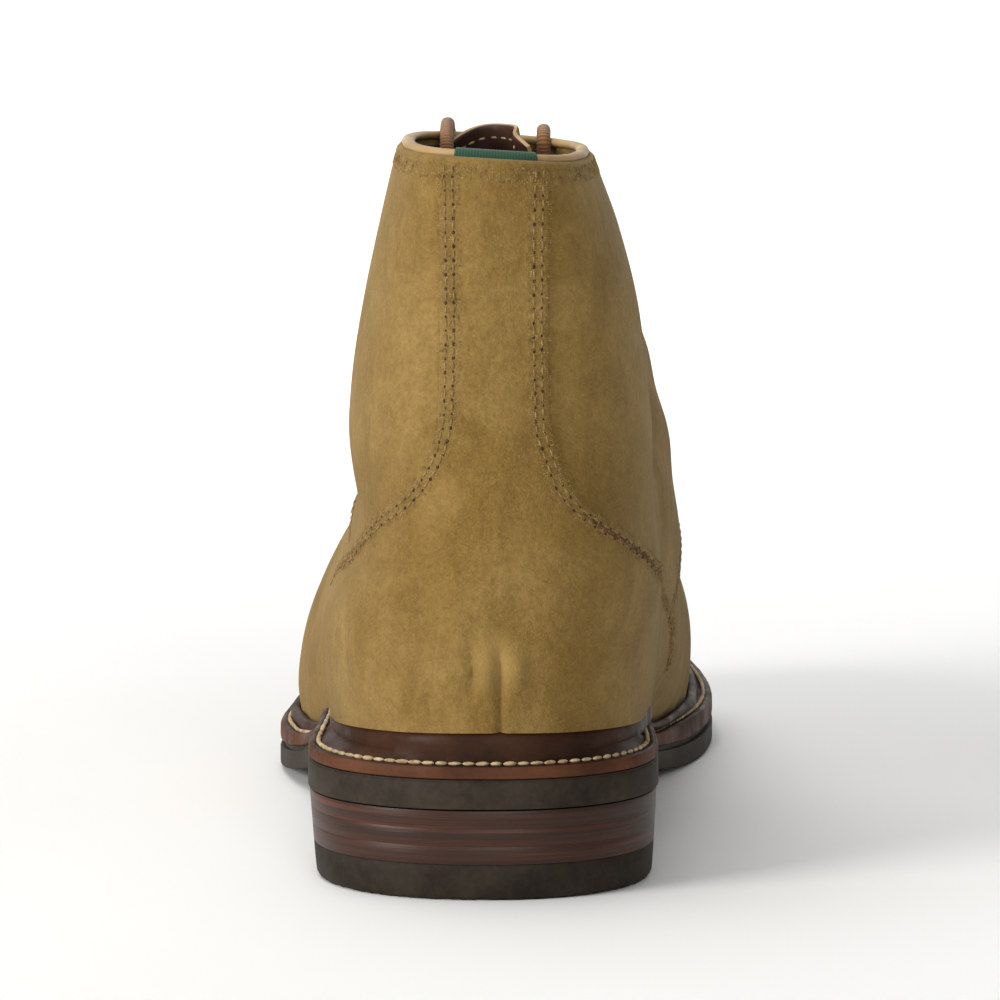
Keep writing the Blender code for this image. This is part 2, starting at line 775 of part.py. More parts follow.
def build_apron(finish):
    """The raised plug over the toes with its rolled seam."""
    rim = ((0.0, 1.5), (1.3, APRON_RIM), (3.0, APRON_RIM), (4.6, APRON))
    flat_rows = 4
    stations = [s for s in STATIONS if s >= station_at(APRON_BACK)]
    order = [(s, LATERAL) for s in stations] + [(s, MEDIAL) for s in reversed(stations[:-1])]
    points, lifts = [], []
    for station, side in order:
        column = column_at(station, side)
        start, stop = apron_start(column), column.length[-1]
        stop = min(stop, apron_stop(column))
        span = stop - start
        rim_scale = min(1.0, span / 9.0)
        lengths = [start + reach * rim_scale for reach, _ in rim]
        lengths += list(np.linspace(lengths[-1], stop, flat_rows))[1:]
        points.append(column.at(np.array(lengths)))
        lifts += [thick for _, thick in rim] + [APRON] * (flat_rows - 1)
    rows = len(rim) + flat_rows - 1
    points = np.vstack(points)
    faces = grid_faces(rows, len(order), flip=True)
    return shell("apron", lay(points, APRON_SEAT + np.array(lifts)),
                 lay(points, np.full(len(points), APRON_SEAT)), faces, finish)


# ---- collar ----------------------------------------------------------------------------------------
BEAD = ((-1.6, 0.0), (-2.4, 0.8), (-2.4, 1.9), (-1.2, BINDING_HEIGHT),
        (0.3, BINDING_HEIGHT), (1.4, 1.9), (1.4, 0.8), (0.6, 0.0))


def collar_path(stations):
    """Points on the collar edge with their level outward normals."""
    places, ways = [], []
    for station, side in stations:
        column = column_at(station, side)
        point = column.at(np.array([column.top]))
        way = normals(point)
        way[:, 2] = 0
        way /= np.linalg.norm(way)
        places.append(point[0])
        ways.append(way[0])
    return np.array(places), np.array(ways)


def collar_section(places, ways, section):
    """One ring of section points at each place: section holds level and upright offsets."""
    rings = []
    for place, way in zip(places, ways):
        rings.append([place + way * out + np.array((0, 0, GAP + up)) for out, up in section])
    return np.array(rings)


def build_binding(finish):
    """The rolled leather binding over the top edge, open at the throat."""
    stations = [s for s in STATIONS if s <= station_at(CORNER)]
    order = [(s, LATERAL) for s in reversed(stations)] + [(s, MEDIAL) for s in stations[1:]]
    places, ways = collar_path(order)
    rings = collar_section(places, ways, BEAD)
    sides = len(BEAD)
    faces = [list(range(sides))]
    for i in range(len(rings) - 1):
        for k in range(sides):
            a, b = i * sides + k, i * sides + (k + 1) % sides
            faces.append([b, a, a + sides, b + sides])
    faces.append([(len(rings) - 1) * sides + k for k in reversed(range(sides))])
    return make_object("collar_binding", rings.reshape(-1, 3), faces, finish)


TAPE_ANGLE = 17.0
TAPE = 0.5


def build_tape(finish):
    """A plain ribbed tape folded over the binding at the back."""
    angles = np.linspace(-TAPE_ANGLE, TAPE_ANGLE, 7)
    order = [(abs(a), LATERAL if a < 0 else MEDIAL) for a in angles]
    places, ways = collar_path(order)
    half_high, half_wide = 0.5 * BINDING_HEIGHT, 0.5 * (BEAD[5][0] - BEAD[1][0])
    centre = BEAD[5][0] - half_wide

    def wrap(extra):
        grow_out, grow_up = 1 + extra / half_wide, 1 + extra / half_high
        return [(centre + (out - centre) * grow_out, half_high + (up - half_high) * grow_up)
                for out, up in BEAD[1:7]]

    outer = collar_section(places, ways, wrap(GAP + TAPE)).reshape(-1, 3)
    inner = collar_section(places, ways, wrap(GAP)).reshape(-1, 3)
    rows = len(BEAD) - 2
    return shell("heel_tape", outer, inner, grid_faces(rows, len(angles), flip=False), finish)


# ---- tongue ------------------------------------------------------------------------------------------
TONGUE = 1.8
TONGUE_DROP = 3.1       # outer face below the last's surface
TONGUE_FOLD = 6.4       # how far its medial part stands off the facing at the top
TONGUE_BEND = (-0.1, 0.55)      # shares of the half width over which it comes away
TONGUE_TURN = (0.25, 0.8)       # and over which the way it moves turns from straight back to inwards
TONGUE_BACK = 0.2       # part of the fold that it gives back at its edge
TONGUE_FADE = 80.0      # length down the ridge over which it lies back on the facing
TONGUE_TOP = np.array((
    # share of the half width, medial positive, and length of the top edge down the ridge
    (-1.0, -6.5),
    (0.0, -7.5),
    (0.25, -8.6),
    (0.5, -9.9),
    (0.75, -10.0),
    (1.0, -9.4),
), float)
TONGUE_HALF = np.array((
    # length down the ridge, half width
    (-10, 26.0),
    (0, 26.0),
    (25, 25.0),
    (60, 22.5),
    (110, 21.0),
), float)


def passed(share, span):
    return eased((share - span[0]) / (span[1] - span[0]))


def tongue_point(down, share, depth):
    half = float(column_of(TONGUE_HALF, 1, down))
    place, side_way = BROW.at(down, share * half, -(TONGUE_DROP + depth))
    ridge_way = BROW.at(down, 0.0, 0.0)[1] * (0.0, 1.0, 1.0)
    ridge_way /= np.linalg.norm(ridge_way)
    turn = passed(share, TONGUE_TURN)
    way = ridge_way * (1 - turn) + side_way * turn
    back = TONGUE_BACK * passed(share, (TONGUE_BEND[1], 1.0))
    fade = float(np.clip(1 - down / TONGUE_FADE, 0, 1))
    fold = TONGUE_FOLD * passed(share, TONGUE_BEND) * (1 - back) * fade
    return place - fold * way / np.linalg.norm(way)


def build_tongue(finish):
    rows, sides = 10, 10
    bottom = BROW.end + 13.0
    outer, inner = [], []
    for share in np.linspace(-1, 1, sides):
        top = float(column_of(TONGUE_TOP, 1, share))
        for down in np.linspace(top, bottom, rows):
            outer.append(tongue_point(down, share, 0.0))
            inner.append(tongue_point(down, share, TONGUE))
    return shell("tongue", np.array(outer), np.array(inner), grid_faces(rows, sides, flip=True),
                 finish)


# ---- lacing --------------------------------------------------------------------------------------------
EYELET_OFF = 14.0
EYELET_OUT, EYELET_IN, EYELET_THICK = 3.9, 2.3, 0.7
LACE = 1.65             # radius
EYELET_SEAT = QUARTER_SEAT + QUARTER + SEAT
LACE_LIFT = EYELET_SEAT + EYELET_THICK + 2 * GAP + LACE


def eyelet_downs():
    return np.linspace(9.0, BROW.end - 9.0, EYELETS)


def build_eyelet(name, down, across, finish):
    place, way = BROW.at(down, across, EYELET_SEAT)
    along = np.cross(way, (1.0, 0.0, 0.0))
    along /= np.linalg.norm(along)
    over = np.cross(along, way)
    sides = 8
    section = ((EYELET_IN, 0.0), (EYELET_OUT, 0.0), (EYELET_OUT - 0.7, EYELET_THICK))
    points = []
    for k in range(sides):
        turn = 2 * math.pi * k / sides
        spoke = along * math.cos(turn) + over * math.sin(turn)
        points += [place + spoke * r + way * up for r, up in section]
    n = len(section)
    faces = []
    for k in range(sides):
        for j in range(n):
            a, b = k * n + j, k * n + (j + 1) % n
            c, d = ((k + 1) % sides) * n + (j + 1) % n, ((k + 1) % sides) * n + j
            faces.append([d, c, b, a])
    return make_object(name, points, faces, finish)


def smooth_route(points, spacing):
    """Evenly spaced points on a smooth curve through the route's own points."""
    points = np.asarray(points, float)
    padded = np.vstack((2 * points[0] - points[1], points, 2 * points[-1] - points[-2]))
    fine = []
    for i in range(1, len(padded) - 2):
        a, b, c, d = padded[i - 1:i + 3]
        for t in np.linspace(0, 1, 24, endpoint=False):
            fine.append(0.5 * (2 * b + (c - a) * t + (2 * a - 5 * b + 4 * c - d) * t ** 2
                               + (3 * b - a - 3 * c + d) * t ** 3))
    fine.append(padded[-2])
    fine = np.array(fine)
    length = np.concatenate(((0,), np.cumsum(np.linalg.norm(np.diff(fine, axis=0), axis=1))))
    count = max(3, int(round(length[-1] / spacing)) + 1)
    marks = np.linspace(0, length[-1], count)
    return np.stack([np.interp(marks, length, fine[:, k]) for k in range(3)], axis=-1)


def tube(name, route, radius, finish, resolution=2):
    curve = bpy.data.curves.new(name, "CURVE")
    curve.dimensions = "3D"
    curve.bevel_depth = radius * MM
    curve.bevel_resolution = resolution
    curve.use_fill_caps = True
    spline = curve.splines.new("POLY")
    spline.points.add(len(route) - 1)
    for point, place in zip(spline.points, route):
        point.co = (*(place * MM), 1.0)
    curve.materials.append(finish)
    made = bpy.data.objects.new(name, curve)
    bpy.context.scene.collection.objects.link(made)
    return made


def build_lacing(finish, metal):
    for k, down in enumerate(eyelet_downs(), 1):
        for side, word in ((LATERAL, "lateral"), (MEDIAL, "medial")):
            build_eyelet(f"eyelet_{word}_{k}", down, side * EYELET_OFF, metal)
        route = [BROW.at(down, across, LACE_LIFT)[0]
                 for across in np.linspace(-EYELET_OFF, EYELET_OFF, 7)]
        if k > 1:
            tube(f"lace_bar_{k}", smooth_route(route, 7.5), LACE, finish)
    for side, word in ((LATERAL, "lateral"), (MEDIAL, "medial")):
        tube(f"lace_end_{word}", smooth_route(lace_end(side), 3.3), LACE, finish)


# Route of a lace end in a fore and aft plane: offset out of the last's surface and height over the
# collar edge. Both ends pass over the binding; the lateral one falls inside the tongue, the medial
# one between tongue and facing.
LACE_OVER = ((4.3, 0.9), (3.1, 3.9), (0.2, 5.3))
LACE_DOWN = {
    LATERAL: ((-3.2, 5.0), (-6.6, 3.8), (-9.0, 0.4), (-9.9, -7.0), (-10.4, -16.0)),
    MEDIAL: ((-3.5, 5.1), (-5.4, 2.4), (-4.6, -3.0), (-3.95, -8.5)),
}
LACE_RIM = {LATERAL: -9.2, MEDIAL: 12.7}    # x where each crosses the collar


def collar_at(x, side):
    """Point of the collar's front part at x, with its outward normal."""
    stations = [(s, side) for s in STATIONS if 90 <= s <= station_at(CORNER)]
    places, ways = collar_path(stations)
    order = np.argsort(places[:, 0])
    place, way = (np.array([np.interp(x, places[order, 0], table[order, k]) for k in range(3)])
                  for table in (places, ways))
    return place, way / np.linalg.norm(way)


def lace_end(side):
    """Route of a lace end: from the top eyelet, over the binding and down inside the boot."""
    down = eyelet_downs()[0]
    start = [BROW.at(down - back, side * (EYELET_OFF - 0.3 * back), LACE_LIFT + 0.2 * back)[0]
             for back in (0.0, 4.0)]
    foot, way = collar_at(LACE_RIM[side], side)
    ahead, rise = np.array((0, 1.0, 0)) / way[1], np.array((0, 0, 1.0))
    return start + [foot + ahead * out + rise * up for out, up in LACE_OVER + LACE_DOWN[side]]


# ---- bottom --------------------------------------------------------------------------------------------
WELT_INNER = 9.0        # welt's inner edge inside the upper's outer face


def foot_reach(column):
    return float(np.dot(column.points[0, :2] - column.pivot, column.way))


def reach_over(column, height):
    """Level reach of the upper's outer face at a height over the welt line."""
    z = column.points[0, 2] + height
    point = column.at(np.array([column.length_at_z(z)]))[0]
    return float(np.dot(point[:2] - column.pivot, column.way))


def build_welt(ring, finish):
    """Storm welt: a flat strip stitched round the boot with a rib against the upper."""
    def rings_of(column):
        height = rand_height(column)
        foot, crest = foot_reach(column), reach_over(column, height)
        edge = outline_reach(column) - WELT_EDGE
        section = (
            (foot - WELT_INNER, rubber_top, SEAT),
            (edge, rubber_top, SEAT),
            (edge, welt_top, 0.0),
            (foot + GAP + RAND_WALL + 0.9, welt_top, 0.0),
            (max(crest, foot) + GAP + RAND_WALL, welt_top, height - 0.8),
            (max(crest, foot) + GAP + 0.2, welt_top, height),
            (foot + GAP, welt_top, 0.0),
            (foot - WELT_INNER, welt_top, 0.0),
        )
        return [in_plane(column, reach, level, rise) for reach, level, rise in section]

    corners = np.array([rings_of(c) for c in ring])
    return loop_solid("welt", [corners[:, k] for k in range(corners.shape[1])], finish)


GROOVE = 1.3            # depth and height of the step under the welt, in front of the heel
GROOVE_HEEL = 0.3       # and its depth behind


def build_outsole(ring, finish):
    """Rubber outsole, stepped in under the welt."""
    def rings_of(column):
        edge = outline_reach(column)
        front = float(np.clip((column.pivot[1] - BREAST_Y) / (BALL_Y - BREAST_Y), 0, 1))
        groove = GROOVE_HEEL + (GROOVE - GROOVE_HEEL) * front
        section = (
            (edge - 0.7, sole_bottom, 0.0),
            (edge, sole_bottom, 0.7),
            (edge, rubber_top, -groove - 0.1),
            (edge - groove, rubber_top, -groove),
            (edge - groove, rubber_top, 0.0),
        )
        return [in_plane(column, reach, level, rise) for reach, level, rise in section]

    corners = np.array([rings_of(c) for c in ring])
    return loop_solid("outsole", [corners[:, k] for k in range(corners.shape[1])], finish, caps=True)


INSOLE = 3.4


def build_insole(ring, finish):
    """Footbed inside the upper, with its filling down between the welt's inner edges."""
    def rings_of(column):
        foot = foot_reach(column)
        plug = foot - WELT_INNER - GAP
        bed = foot - WALL - 0.5
        section = (
            (plug, rubber_top, GAP),
            (plug, welt_top, GAP),
            (bed, welt_top, GAP),
            (bed, welt_top, GAP + INSOLE),
        )
        return [in_plane(column, reach, level, rise) for reach, level, rise in section]

    corners = np.array([rings_of(c) for c in ring])
    return loop_solid("insole", [corners[:, k] for k in range(corners.shape[1])], finish, caps=True)


HEEL_EDGE = 0.35        # inset of the heel under the outsole
HEEL_TAPER = {LATERAL: 1.5, MEDIAL: 1.0}    # further inset at the floor on each side
HEEL_TAPER_BACK = 0.8


def heel_taper(column, z):
    side, back = column.way[0] ** 2, column.way[1] ** 2
    return (HEEL_TAPER[column.side] * side + HEEL_TAPER_BACK * back) * (1 - z / STACK_TOP)


def heel_outline(inset, z):
    """Points round a heel piece: the sole's outline at the back and a hollow breast in front."""
    stations = [s for s in STATIONS if s < station_at(BREAST_Y)] + [station_at(BREAST_Y)]
    order = [(s, LATERAL) for s in reversed(stations)] + [(s, MEDIAL) for s in stations[1:]]
    points = []
    for station, side in order:
        column = Flat(station, side)
        reach = outline_reach(column) - HEEL_EDGE - heel_taper(column, z) - inset
        points.append(column.pivot + column.way * reach)
    first, last = points[0], points[-1]
    for share in np.linspace(1, 0, 9)[1:-1]:
        x = first[0] + (last[0] - first[0]) * share
        hollow = BREAST_HOLLOW * (1 - (2 * share - 1) ** 2)
        points.append(np.array((x, BREAST_Y - hollow)))
    return np.array(points)


class Flat:
    """A column without its outline, for pieces under the upper."""

    def __init__(self, station, side):
        pivot, way = plane_of(station, side)
        self.side, self.pivot, self.way = side, np.array(pivot), np.array(way)


def build_heel_piece(name, levels, finish):
    """A flat heel piece from (z, further inset) levels, bottom to top."""
    rings = []
    for z, inset in levels:
        outline = heel_outline(inset, z)
        rings.append(np.column_stack((outline, np.full(len(outline), z))))
    count = len(rings[0])
    faces = [list(reversed(range(count)))]
    for k in range(len(rings) - 1):
        for i in range(count):
            j = (i + 1) % count
            faces.append([k * count + i, k * count + j, (k + 1) * count + j, (k + 1) * count + i])
    faces.append([(len(rings) - 1) * count + i for i in range(count)])
    return make_object(name, np.vstack(rings), faces, finish)


def build_heel(leather, rubber):
    build_heel_piece("heel_top_piece", ((0, 0.9), (1.2, 0), (TOP_PIECE - GAP, 0)), rubber)
    lift = (STACK_TOP - TOP_PIECE) / LIFTS
    for k in range(LIFTS):
        low = TOP_PIECE + k * lift
        build_heel_piece(f"heel_lift_{k + 1}", ((low, 0), (low + lift - GAP, 0)), leather)


# ---- assembly -----------------------------------------------------------------------------------------
def clear_scene():
    for item in list(bpy.data.objects):
        bpy.data.objects.remove(item, do_unlink=True)


def centre_on_floor():
    """Move the boot so that the middle of its box stands at the origin, its lowest point at 0."""
    bpy.context.view_layer.update()
    low, high = np.full(3, np.inf), np.full(3, -np.inf)
    for item in bpy.context.scene.objects:
        if item.type == "MESH":
            flat = np.empty(len(item.data.vertices) * 3)
            item.data.vertices.foreach_get("co", flat)
            flat = flat.reshape(-1, 3)
            low, high = np.minimum(low, flat.min(axis=0)), np.maximum(high, flat.max(axis=0))
    shift = (-0.5 * (low[0] + high[0]), -0.5 * (low[1] + high[1]), -low[2])
    for item in bpy.context.scene.objects:
        item.location = shift


def main():
    clear_scene()
    look = finishes()
    lateral, medial = ring_columns()
    ring = lateral + medial[-2:0:-1]
    build_outsole(ring, look["rubber"])
    build_heel(look["stack"], look["rubber"])
    build_welt(ring, look["welt"])
    build_insole(ring, look["lining"])
    build_upper(ring, look["suede"])
    build_quarter("quarter_lateral", LATERAL, look["suede"])
    build_quarter("quarter_medial", MEDIAL, look["suede"])
    build_counter(look["suede"])
    build_apron(look["suede"])
    build_tongue(look["lining"])
    build_binding(look["binding"])
    build_tape(look["tape"])
    build_lacing(look["lace"], look["eyelet"])
    centre_on_floor()


main()
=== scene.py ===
"""Looks of the left moc toe boot: suede panels, seams, creases, welt, stacked heel, lacing, light.

Shapes are worked out in millimetres in the shoe's own frame: y runs from the heel back to the toe
tip, z up from the floor, x to the wearer's inside (medial +, lateral -). place() turns them into
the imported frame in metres.
"""

import math

import bpy
import numpy as np
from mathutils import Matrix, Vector


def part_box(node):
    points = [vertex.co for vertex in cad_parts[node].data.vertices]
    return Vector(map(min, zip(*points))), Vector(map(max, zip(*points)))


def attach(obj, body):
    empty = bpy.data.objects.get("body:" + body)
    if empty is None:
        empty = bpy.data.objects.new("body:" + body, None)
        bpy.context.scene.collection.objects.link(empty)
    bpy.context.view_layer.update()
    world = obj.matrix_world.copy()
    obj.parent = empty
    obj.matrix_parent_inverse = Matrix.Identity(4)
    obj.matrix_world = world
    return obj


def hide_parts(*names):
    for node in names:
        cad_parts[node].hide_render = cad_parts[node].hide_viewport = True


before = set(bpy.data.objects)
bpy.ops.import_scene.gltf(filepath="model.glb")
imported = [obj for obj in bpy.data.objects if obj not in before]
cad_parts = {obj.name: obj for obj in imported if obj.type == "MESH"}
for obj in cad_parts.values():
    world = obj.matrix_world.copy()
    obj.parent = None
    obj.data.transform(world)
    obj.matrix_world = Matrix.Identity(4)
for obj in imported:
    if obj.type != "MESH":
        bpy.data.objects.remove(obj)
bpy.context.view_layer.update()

MM = 0.001

# ---- sizes, as in the solids ------------------------------------------------------------------
LENGTH = 305.0
HEEL_CENTRE = 38.0
BALL_Y = 215.0
TOE_PIVOT = 245.0
HEEL_ROUND, TOE_ROUND = 2.2, 2.6
BREAST_Y = 82.0
BREAST_HOLLOW = 4.0
TOP_PIECE = 7.8
STACK_TOP = 19.3
LIFTS = 3
GAP = 0.35
WELT_EDGE = 0.2
RAND_WALL = 2.0
WALL = 1.8
COLLAR_Z = 155.0
COLLAR_MIDDLE = 1.6
COLLAR_TILT = 0.06
THROAT_END = 184.0
THROAT_HALF = 5.5
LATERAL, MEDIAL = -1, 1
STRIP_ANGLE = {LATERAL: 20.5, MEDIAL: 24.0}
EYELETS = 6
EYELET_OFF = 14.0

# Plan outline of the outsole: y, lateral and medial half widths.
OUTLINE = (
    (0, 38.5, 37.7),
    (38, 38.5, 37.7),
    (78, 37.6, 36.6),
    (110, 38.8, 34.8),
    (140, 44.0, 37.6),
    (163, 49.8, 43.6),
    (183, 52.2, 49.6),
    (204, 51.2, 54.2),
    (224, 49.4, 56.2),
    (245, 47.8, 57.0),
    (275, 46.0, 57.6),
    (305, 44.5, 58.0),
)

# From the last's own axes to the frame: the outsole's lateral edge and its back.
sole_low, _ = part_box("outsole")
SHIFT = np.array((1000 * sole_low.x + max(row[1] for row in OUTLINE), 1000 * sole_low.y, 0.0))

# Bottom line of the outsole and the thickness of rubber and welt above it: y, z, rubber, welt.
SOLE = (
    (0, 19.6, 6.1, 3.1),
    (BREAST_Y, 19.6, 6.1, 3.1),
    (98, 17.4, 6.0, 3.1),
    (122, 11.0, 5.6, 3.1),
    (143, 5.6, 5.3, 3.2),
    (160, 2.6, 5.7, 3.8),
    (176, 0.9, 6.3, 4.7),
    (193, 0.0, 6.9, 5.0),
    (222, 0.0, 6.9, 5.0),
    (245, 1.1, 6.9, 5.0),
    (275, 4.7, 6.9, 5.0),
    (305, 9.8, 6.9, 5.0),
)

# Height of the storm rib over the welt: station, height.
RAND = (
    (0, 7.0),
    (35, 6.4),
    (70, 5.2),
    (90, 4.4),
    (90 + 45, 3.2),
    (90 + 90, 2.8),
    (90 + 300, 2.8),
)

# Foot part of the last: y, ridge height over the welt line, ridge x, lateral widest height and
# half width, medial widest height and half width, squareness of the lateral side.
FOOT = (
    (0, 50, 1.2, 20, 22, 20, 22, 2.1),
    (40, 56, 1.3, 20, 26, 20, 26, 2.1),
    (80, 84, 1.5, 18, 28.5, 24, 35.0, 2.0),
    (105, 122, 1.6, 16, 29.5, 27, 41.5, 1.9),
    (118, 125, 2.6, 14, 31.5, 27, 43.4, 1.8),
    (130, 111, 3.8, 12, 35.0, 26, 44.6, 1.75),
    (145, 99, 4.8, 11, 39.4, 23, 45.6, 1.7),
    (165, 86, 5.4, 10, 44.8, 19, 47.0, 1.7),
    (190, 73.5, 5.6, 9, 48.0, 16, 48.6, 1.75),
    (215, 63.0, 5.2, 11, 47.0, 14, 50.0, 1.9),
    (245, 54.5, 4.6, 13, 45.0, 14, 51.2, 2.1),
    (275, 49.0, 4.4, 14, 42.6, 14, 52.0, 2.15),
    (305, 44.0, 4.6, 14, 40.0, 14, 52.0, 2.15),
)
MEDIAL_POWER = 2.0
FEATHER_INSET = 5.7
TOE_TIP = 297.5
TIP_ROUND = 2.8
FOOT_BACK = 70.0
FOOT_HEEL = 14.0
BLEND = 9.0

# Shaft part of the last: z, back y, front y, half width, middle x, back and front squareness.
SHAFT = (
    (14, 9.5, 118, 29.0, 0.4, 2.4, 2.5),
    (30, 5.8, 124, 32.0, 0.5, 2.4, 2.5),
    (42, 4.4, 124, 34.0, 0.7, 2.4, 2.5),
    (54, 4.1, 118, 34.7, 1.0, 2.4, 2.5),
    (60, 4.3, 115, 33.8, 2.5, 2.4, 2.45),
    (68, 5.2, 112, 32.5, 4.2, 2.4, 2.4),
    (77, 6.5, 110, 31.5, 4.5, 2.4, 2.35),
    (86, 7.9, 108, 31.6, 3.9, 2.4, 2.3),
    (95, 9.2, 107, 31.9, 3.5, 2.4, 2.3),
    (104, 9.9, 107, 31.2, 3.4, 2.5, 2.3),
    (121, 10.7, 108, 29.0, 3.6, 2.7, 2.4),
    (139, 10.7, 109, 25.1, 2.9, 2.9, 2.6),
    (152, 10.4, 109, 21.2, 1.9, 3.2, 2.7),
    (170, 10.0, 109, 15.6, 1.1, 3.4, 2.7),
)

# Top edge of the counter: station, lateral and medial height.
COUNTER_EDGE = (
    (STRIP_ANGLE[LATERAL], 100.0, 98.0),
    (22.5, 95.5, 98.0),
    (STRIP_ANGLE[MEDIAL], 93.2, 98.0),
    (30, 88.0, 87.0),
    (36, 85.0, 82.8),
    (52, 80.5, 77.0),
    (70, 75.5, 72.2),
    (90, 69.8, 67.4),
    (90 + 30, 62.5, 61.5),
    (90 + 52, 54.5, 54.0),
    (90 + 66, 46.5, 46.0),
    (90 + 77, 37.0, 37.0),
)
COUNTER_FRONT = COUNTER_EDGE[-1][0]

# Lower edge of the quarters: y and height behind QUARTER_TURN, then y and length from the throat.
QUARTER_TURN = 150.0
QUARTER_LOW = ((92, 41.0), (104, 47.5), (116, 54.0), (128, 60.5), (140, 66.0), (QUARTER_TURN, 70.0))
QUARTER_FRONT = ((QUARTER_TURN, 53.0), (160, 45.5), (168, 38.0), (176, 28.5), (180, 21.5),
                 (THROAT_END, 10.0))

# Apron seam: y and surface length from the ridge out to it.
APRON_EDGE = ((176, 37.0), (190, 35.5), (215, 35.0), (245, 33.5))
APRON_REACH = 27.0
APRON_BACK = 176.0
APRON_MIDDLE = 190.5
APRON_CLEAR = 1.0
SEAM_PITCH = 5.0


# ---- curves --------------------------------------------------------------------------------------
def smooth(xs, ys, at):
    """Monotone cubic through the points (xs, ys), flat beyond its ends."""
    step = np.diff(xs)
    slope = np.diff(ys) / step
    tangent = np.zeros_like(ys)
    left, right = slope[:-1], slope[1:]
    same = left * right > 0
    weight_a = 2 * step[1:] + step[:-1]
    weight_b = step[1:] + 2 * step[:-1]
    mean = (weight_a + weight_b) / (weight_a / np.where(same, left, 1.0)
                                    + weight_b / np.where(same, right, 1.0))
    tangent[1:-1] = np.where(same, mean, 0.0)
    at = np.clip(at, xs[0], xs[-1])
    cell = np.clip(np.searchsorted(xs, at, side="right") - 1, 0, len(xs) - 2)
    width = step[cell]
    t = (at - xs[cell]) / width
    rise = 3 * t ** 2 - 2 * t ** 3
    curve_in = (t ** 3 - 2 * t ** 2 + t) * width * tangent[cell]
    curve_out = (t ** 3 - t ** 2) * width * tangent[cell + 1]
    return ys[cell] * (1 - rise) + ys[cell + 1] * rise + curve_in + curve_out


def curve(table, index=1):
    """A quick function for one column of a table against its first column."""
    table = np.array(table, float)
    grid = np.linspace(table[0, 0], table[-1, 0], 1600)
    values = smooth(table[:, 0], table[:, index], grid)
    return lambda at: np.interp(at, grid, values)


outline_lateral, outline_medial = curve(OUTLINE, 1), curve(OUTLINE, 2)
sole_bottom, rubber_depth, welt_depth = (curve(SOLE, k) for k in (1, 2, 3))
ridge_high, ridge_x, low_lateral, half_lateral, low_medial, half_medial, lateral_power = (
    curve(FOOT, k) for k in range(1, 8))
shaft_back, shaft_front, shaft_half, shaft_middle, back_power, front_power = (
    curve(SHAFT, k) for k in range(1, 7))
quarter_low, quarter_front, apron_edge, rand_height = (
    curve(t) for t in (QUARTER_LOW, QUARTER_FRONT, APRON_EDGE, RAND))
counter_z = {LATERAL: curve(COUNTER_EDGE, 1), MEDIAL: curve(COUNTER_EDGE, 2)}
aim_height = curve(((0, 86), (60, 86), (110, 70), (160, 42), (215, 34), (305, 30)))


def rubber_top(y):
    return sole_bottom(y) + rubber_depth(y)


def welt_top(y):
    return rubber_top(y) + welt_depth(y)


def collar_z(x):
    return COLLAR_Z - COLLAR_TILT * (x - COLLAR_MIDDLE)


def bell(value, width):
    """1 at value 0, fading to 0 over about twice the width."""
    return np.exp(-(np.asarray(value) / width) ** 2)


def ramp(value, low, high):
    """0 up to low, 1 from high on, eased between."""
    t = np.clip((np.asarray(value, float) - low) / (high - low), 0, 1)
    return t * t * (3 - 2 * t)


# ---- the last ------------------------------------------------------------------------------------
FOOT_SCALE = 36.0       # brings the foot's field to about mm


def foot_field(x, y, z):
    """The foot part: a superellipse in each cross section, closed by a toe and a heel."""
    middle = ridge_x(y)
    inner = x > middle
    line = welt_top(y)
    widest = line + np.where(inner, low_medial(y), low_lateral(y))
    half = np.where(inner, half_medial(y) - middle, half_lateral(y) + middle)
    power = np.where(inner, MEDIAL_POWER, lateral_power(y))
    sole = np.where(inner, outline_medial(y) - middle, outline_lateral(y) + middle)
    feather = np.minimum(sole - FEATHER_INSET, half - 1.2)
    below = (widest - line) / (1 - (feather / half) ** power) ** (1 / power)
    above = line + ridge_high(y) - widest
    across = np.abs(x - middle) / half
    up = np.abs(z - widest) / np.where(z > widest, above, below)
    toe = np.clip((y - BALL_Y) / (TOE_TIP - BALL_Y), 0, None) ** TIP_ROUND
    heel = np.clip((FOOT_BACK - y) / (FOOT_BACK - FOOT_HEEL), 0, None) ** HEEL_ROUND
    total = across ** power + up ** power + toe + heel
    return (total ** (1 / power) - 1) * FOOT_SCALE


def shaft_field(x, y, z):
    """The shaft part: a superellipse at each height, blunter or rounder in front and behind."""
    back, front, half = shaft_back(z), shaft_front(z), shaft_half(z)
    centre = 0.5 * (back + front)
    power = np.where(y < centre, back_power(z), front_power(z))
    along = np.abs(y - centre) / (0.5 * (front - back))
    across = np.abs(x - shaft_middle(z)) / half
    return ((along ** power + across ** power) ** (1 / power) - 1) * half


def last_field(p):
    """Below zero inside the upper's outer surface, about the distance in mm near it."""
    x, y, z = p[..., 0], p[..., 1], p[..., 2]
    foot, shaft = foot_field(x, y, z), shaft_field(x, y, z)
    mix = np.clip(0.5 + 0.5 * (shaft - foot) / BLEND, 0, 1)
    return shaft * (1 - mix) + foot * mix - BLEND * mix * (1 - mix)


def gradient(p, reach=0.4):
    """How the last's field grows along x, y and z."""
    grads = []
    for axis in range(3):
        step = np.zeros(3)
        step[axis] = reach
        grads.append(last_field(p + step) - last_field(p - step))
    return np.stack(grads, axis=-1) / (2 * reach)


def unit(v):
    return v / np.linalg.norm(v, axis=-1, keepdims=True)


def normals(p):
    return unit(gradient(p))


def halved(inside, near, far, rounds):
    """The last place where inside holds and the first where it doesn't, found by halving."""
    for _ in range(rounds):
        middle = 0.5 * (near + far)
        held = inside(middle)
        near, far = np.where(held, middle, near), np.where(held, far, middle)
    return near, far


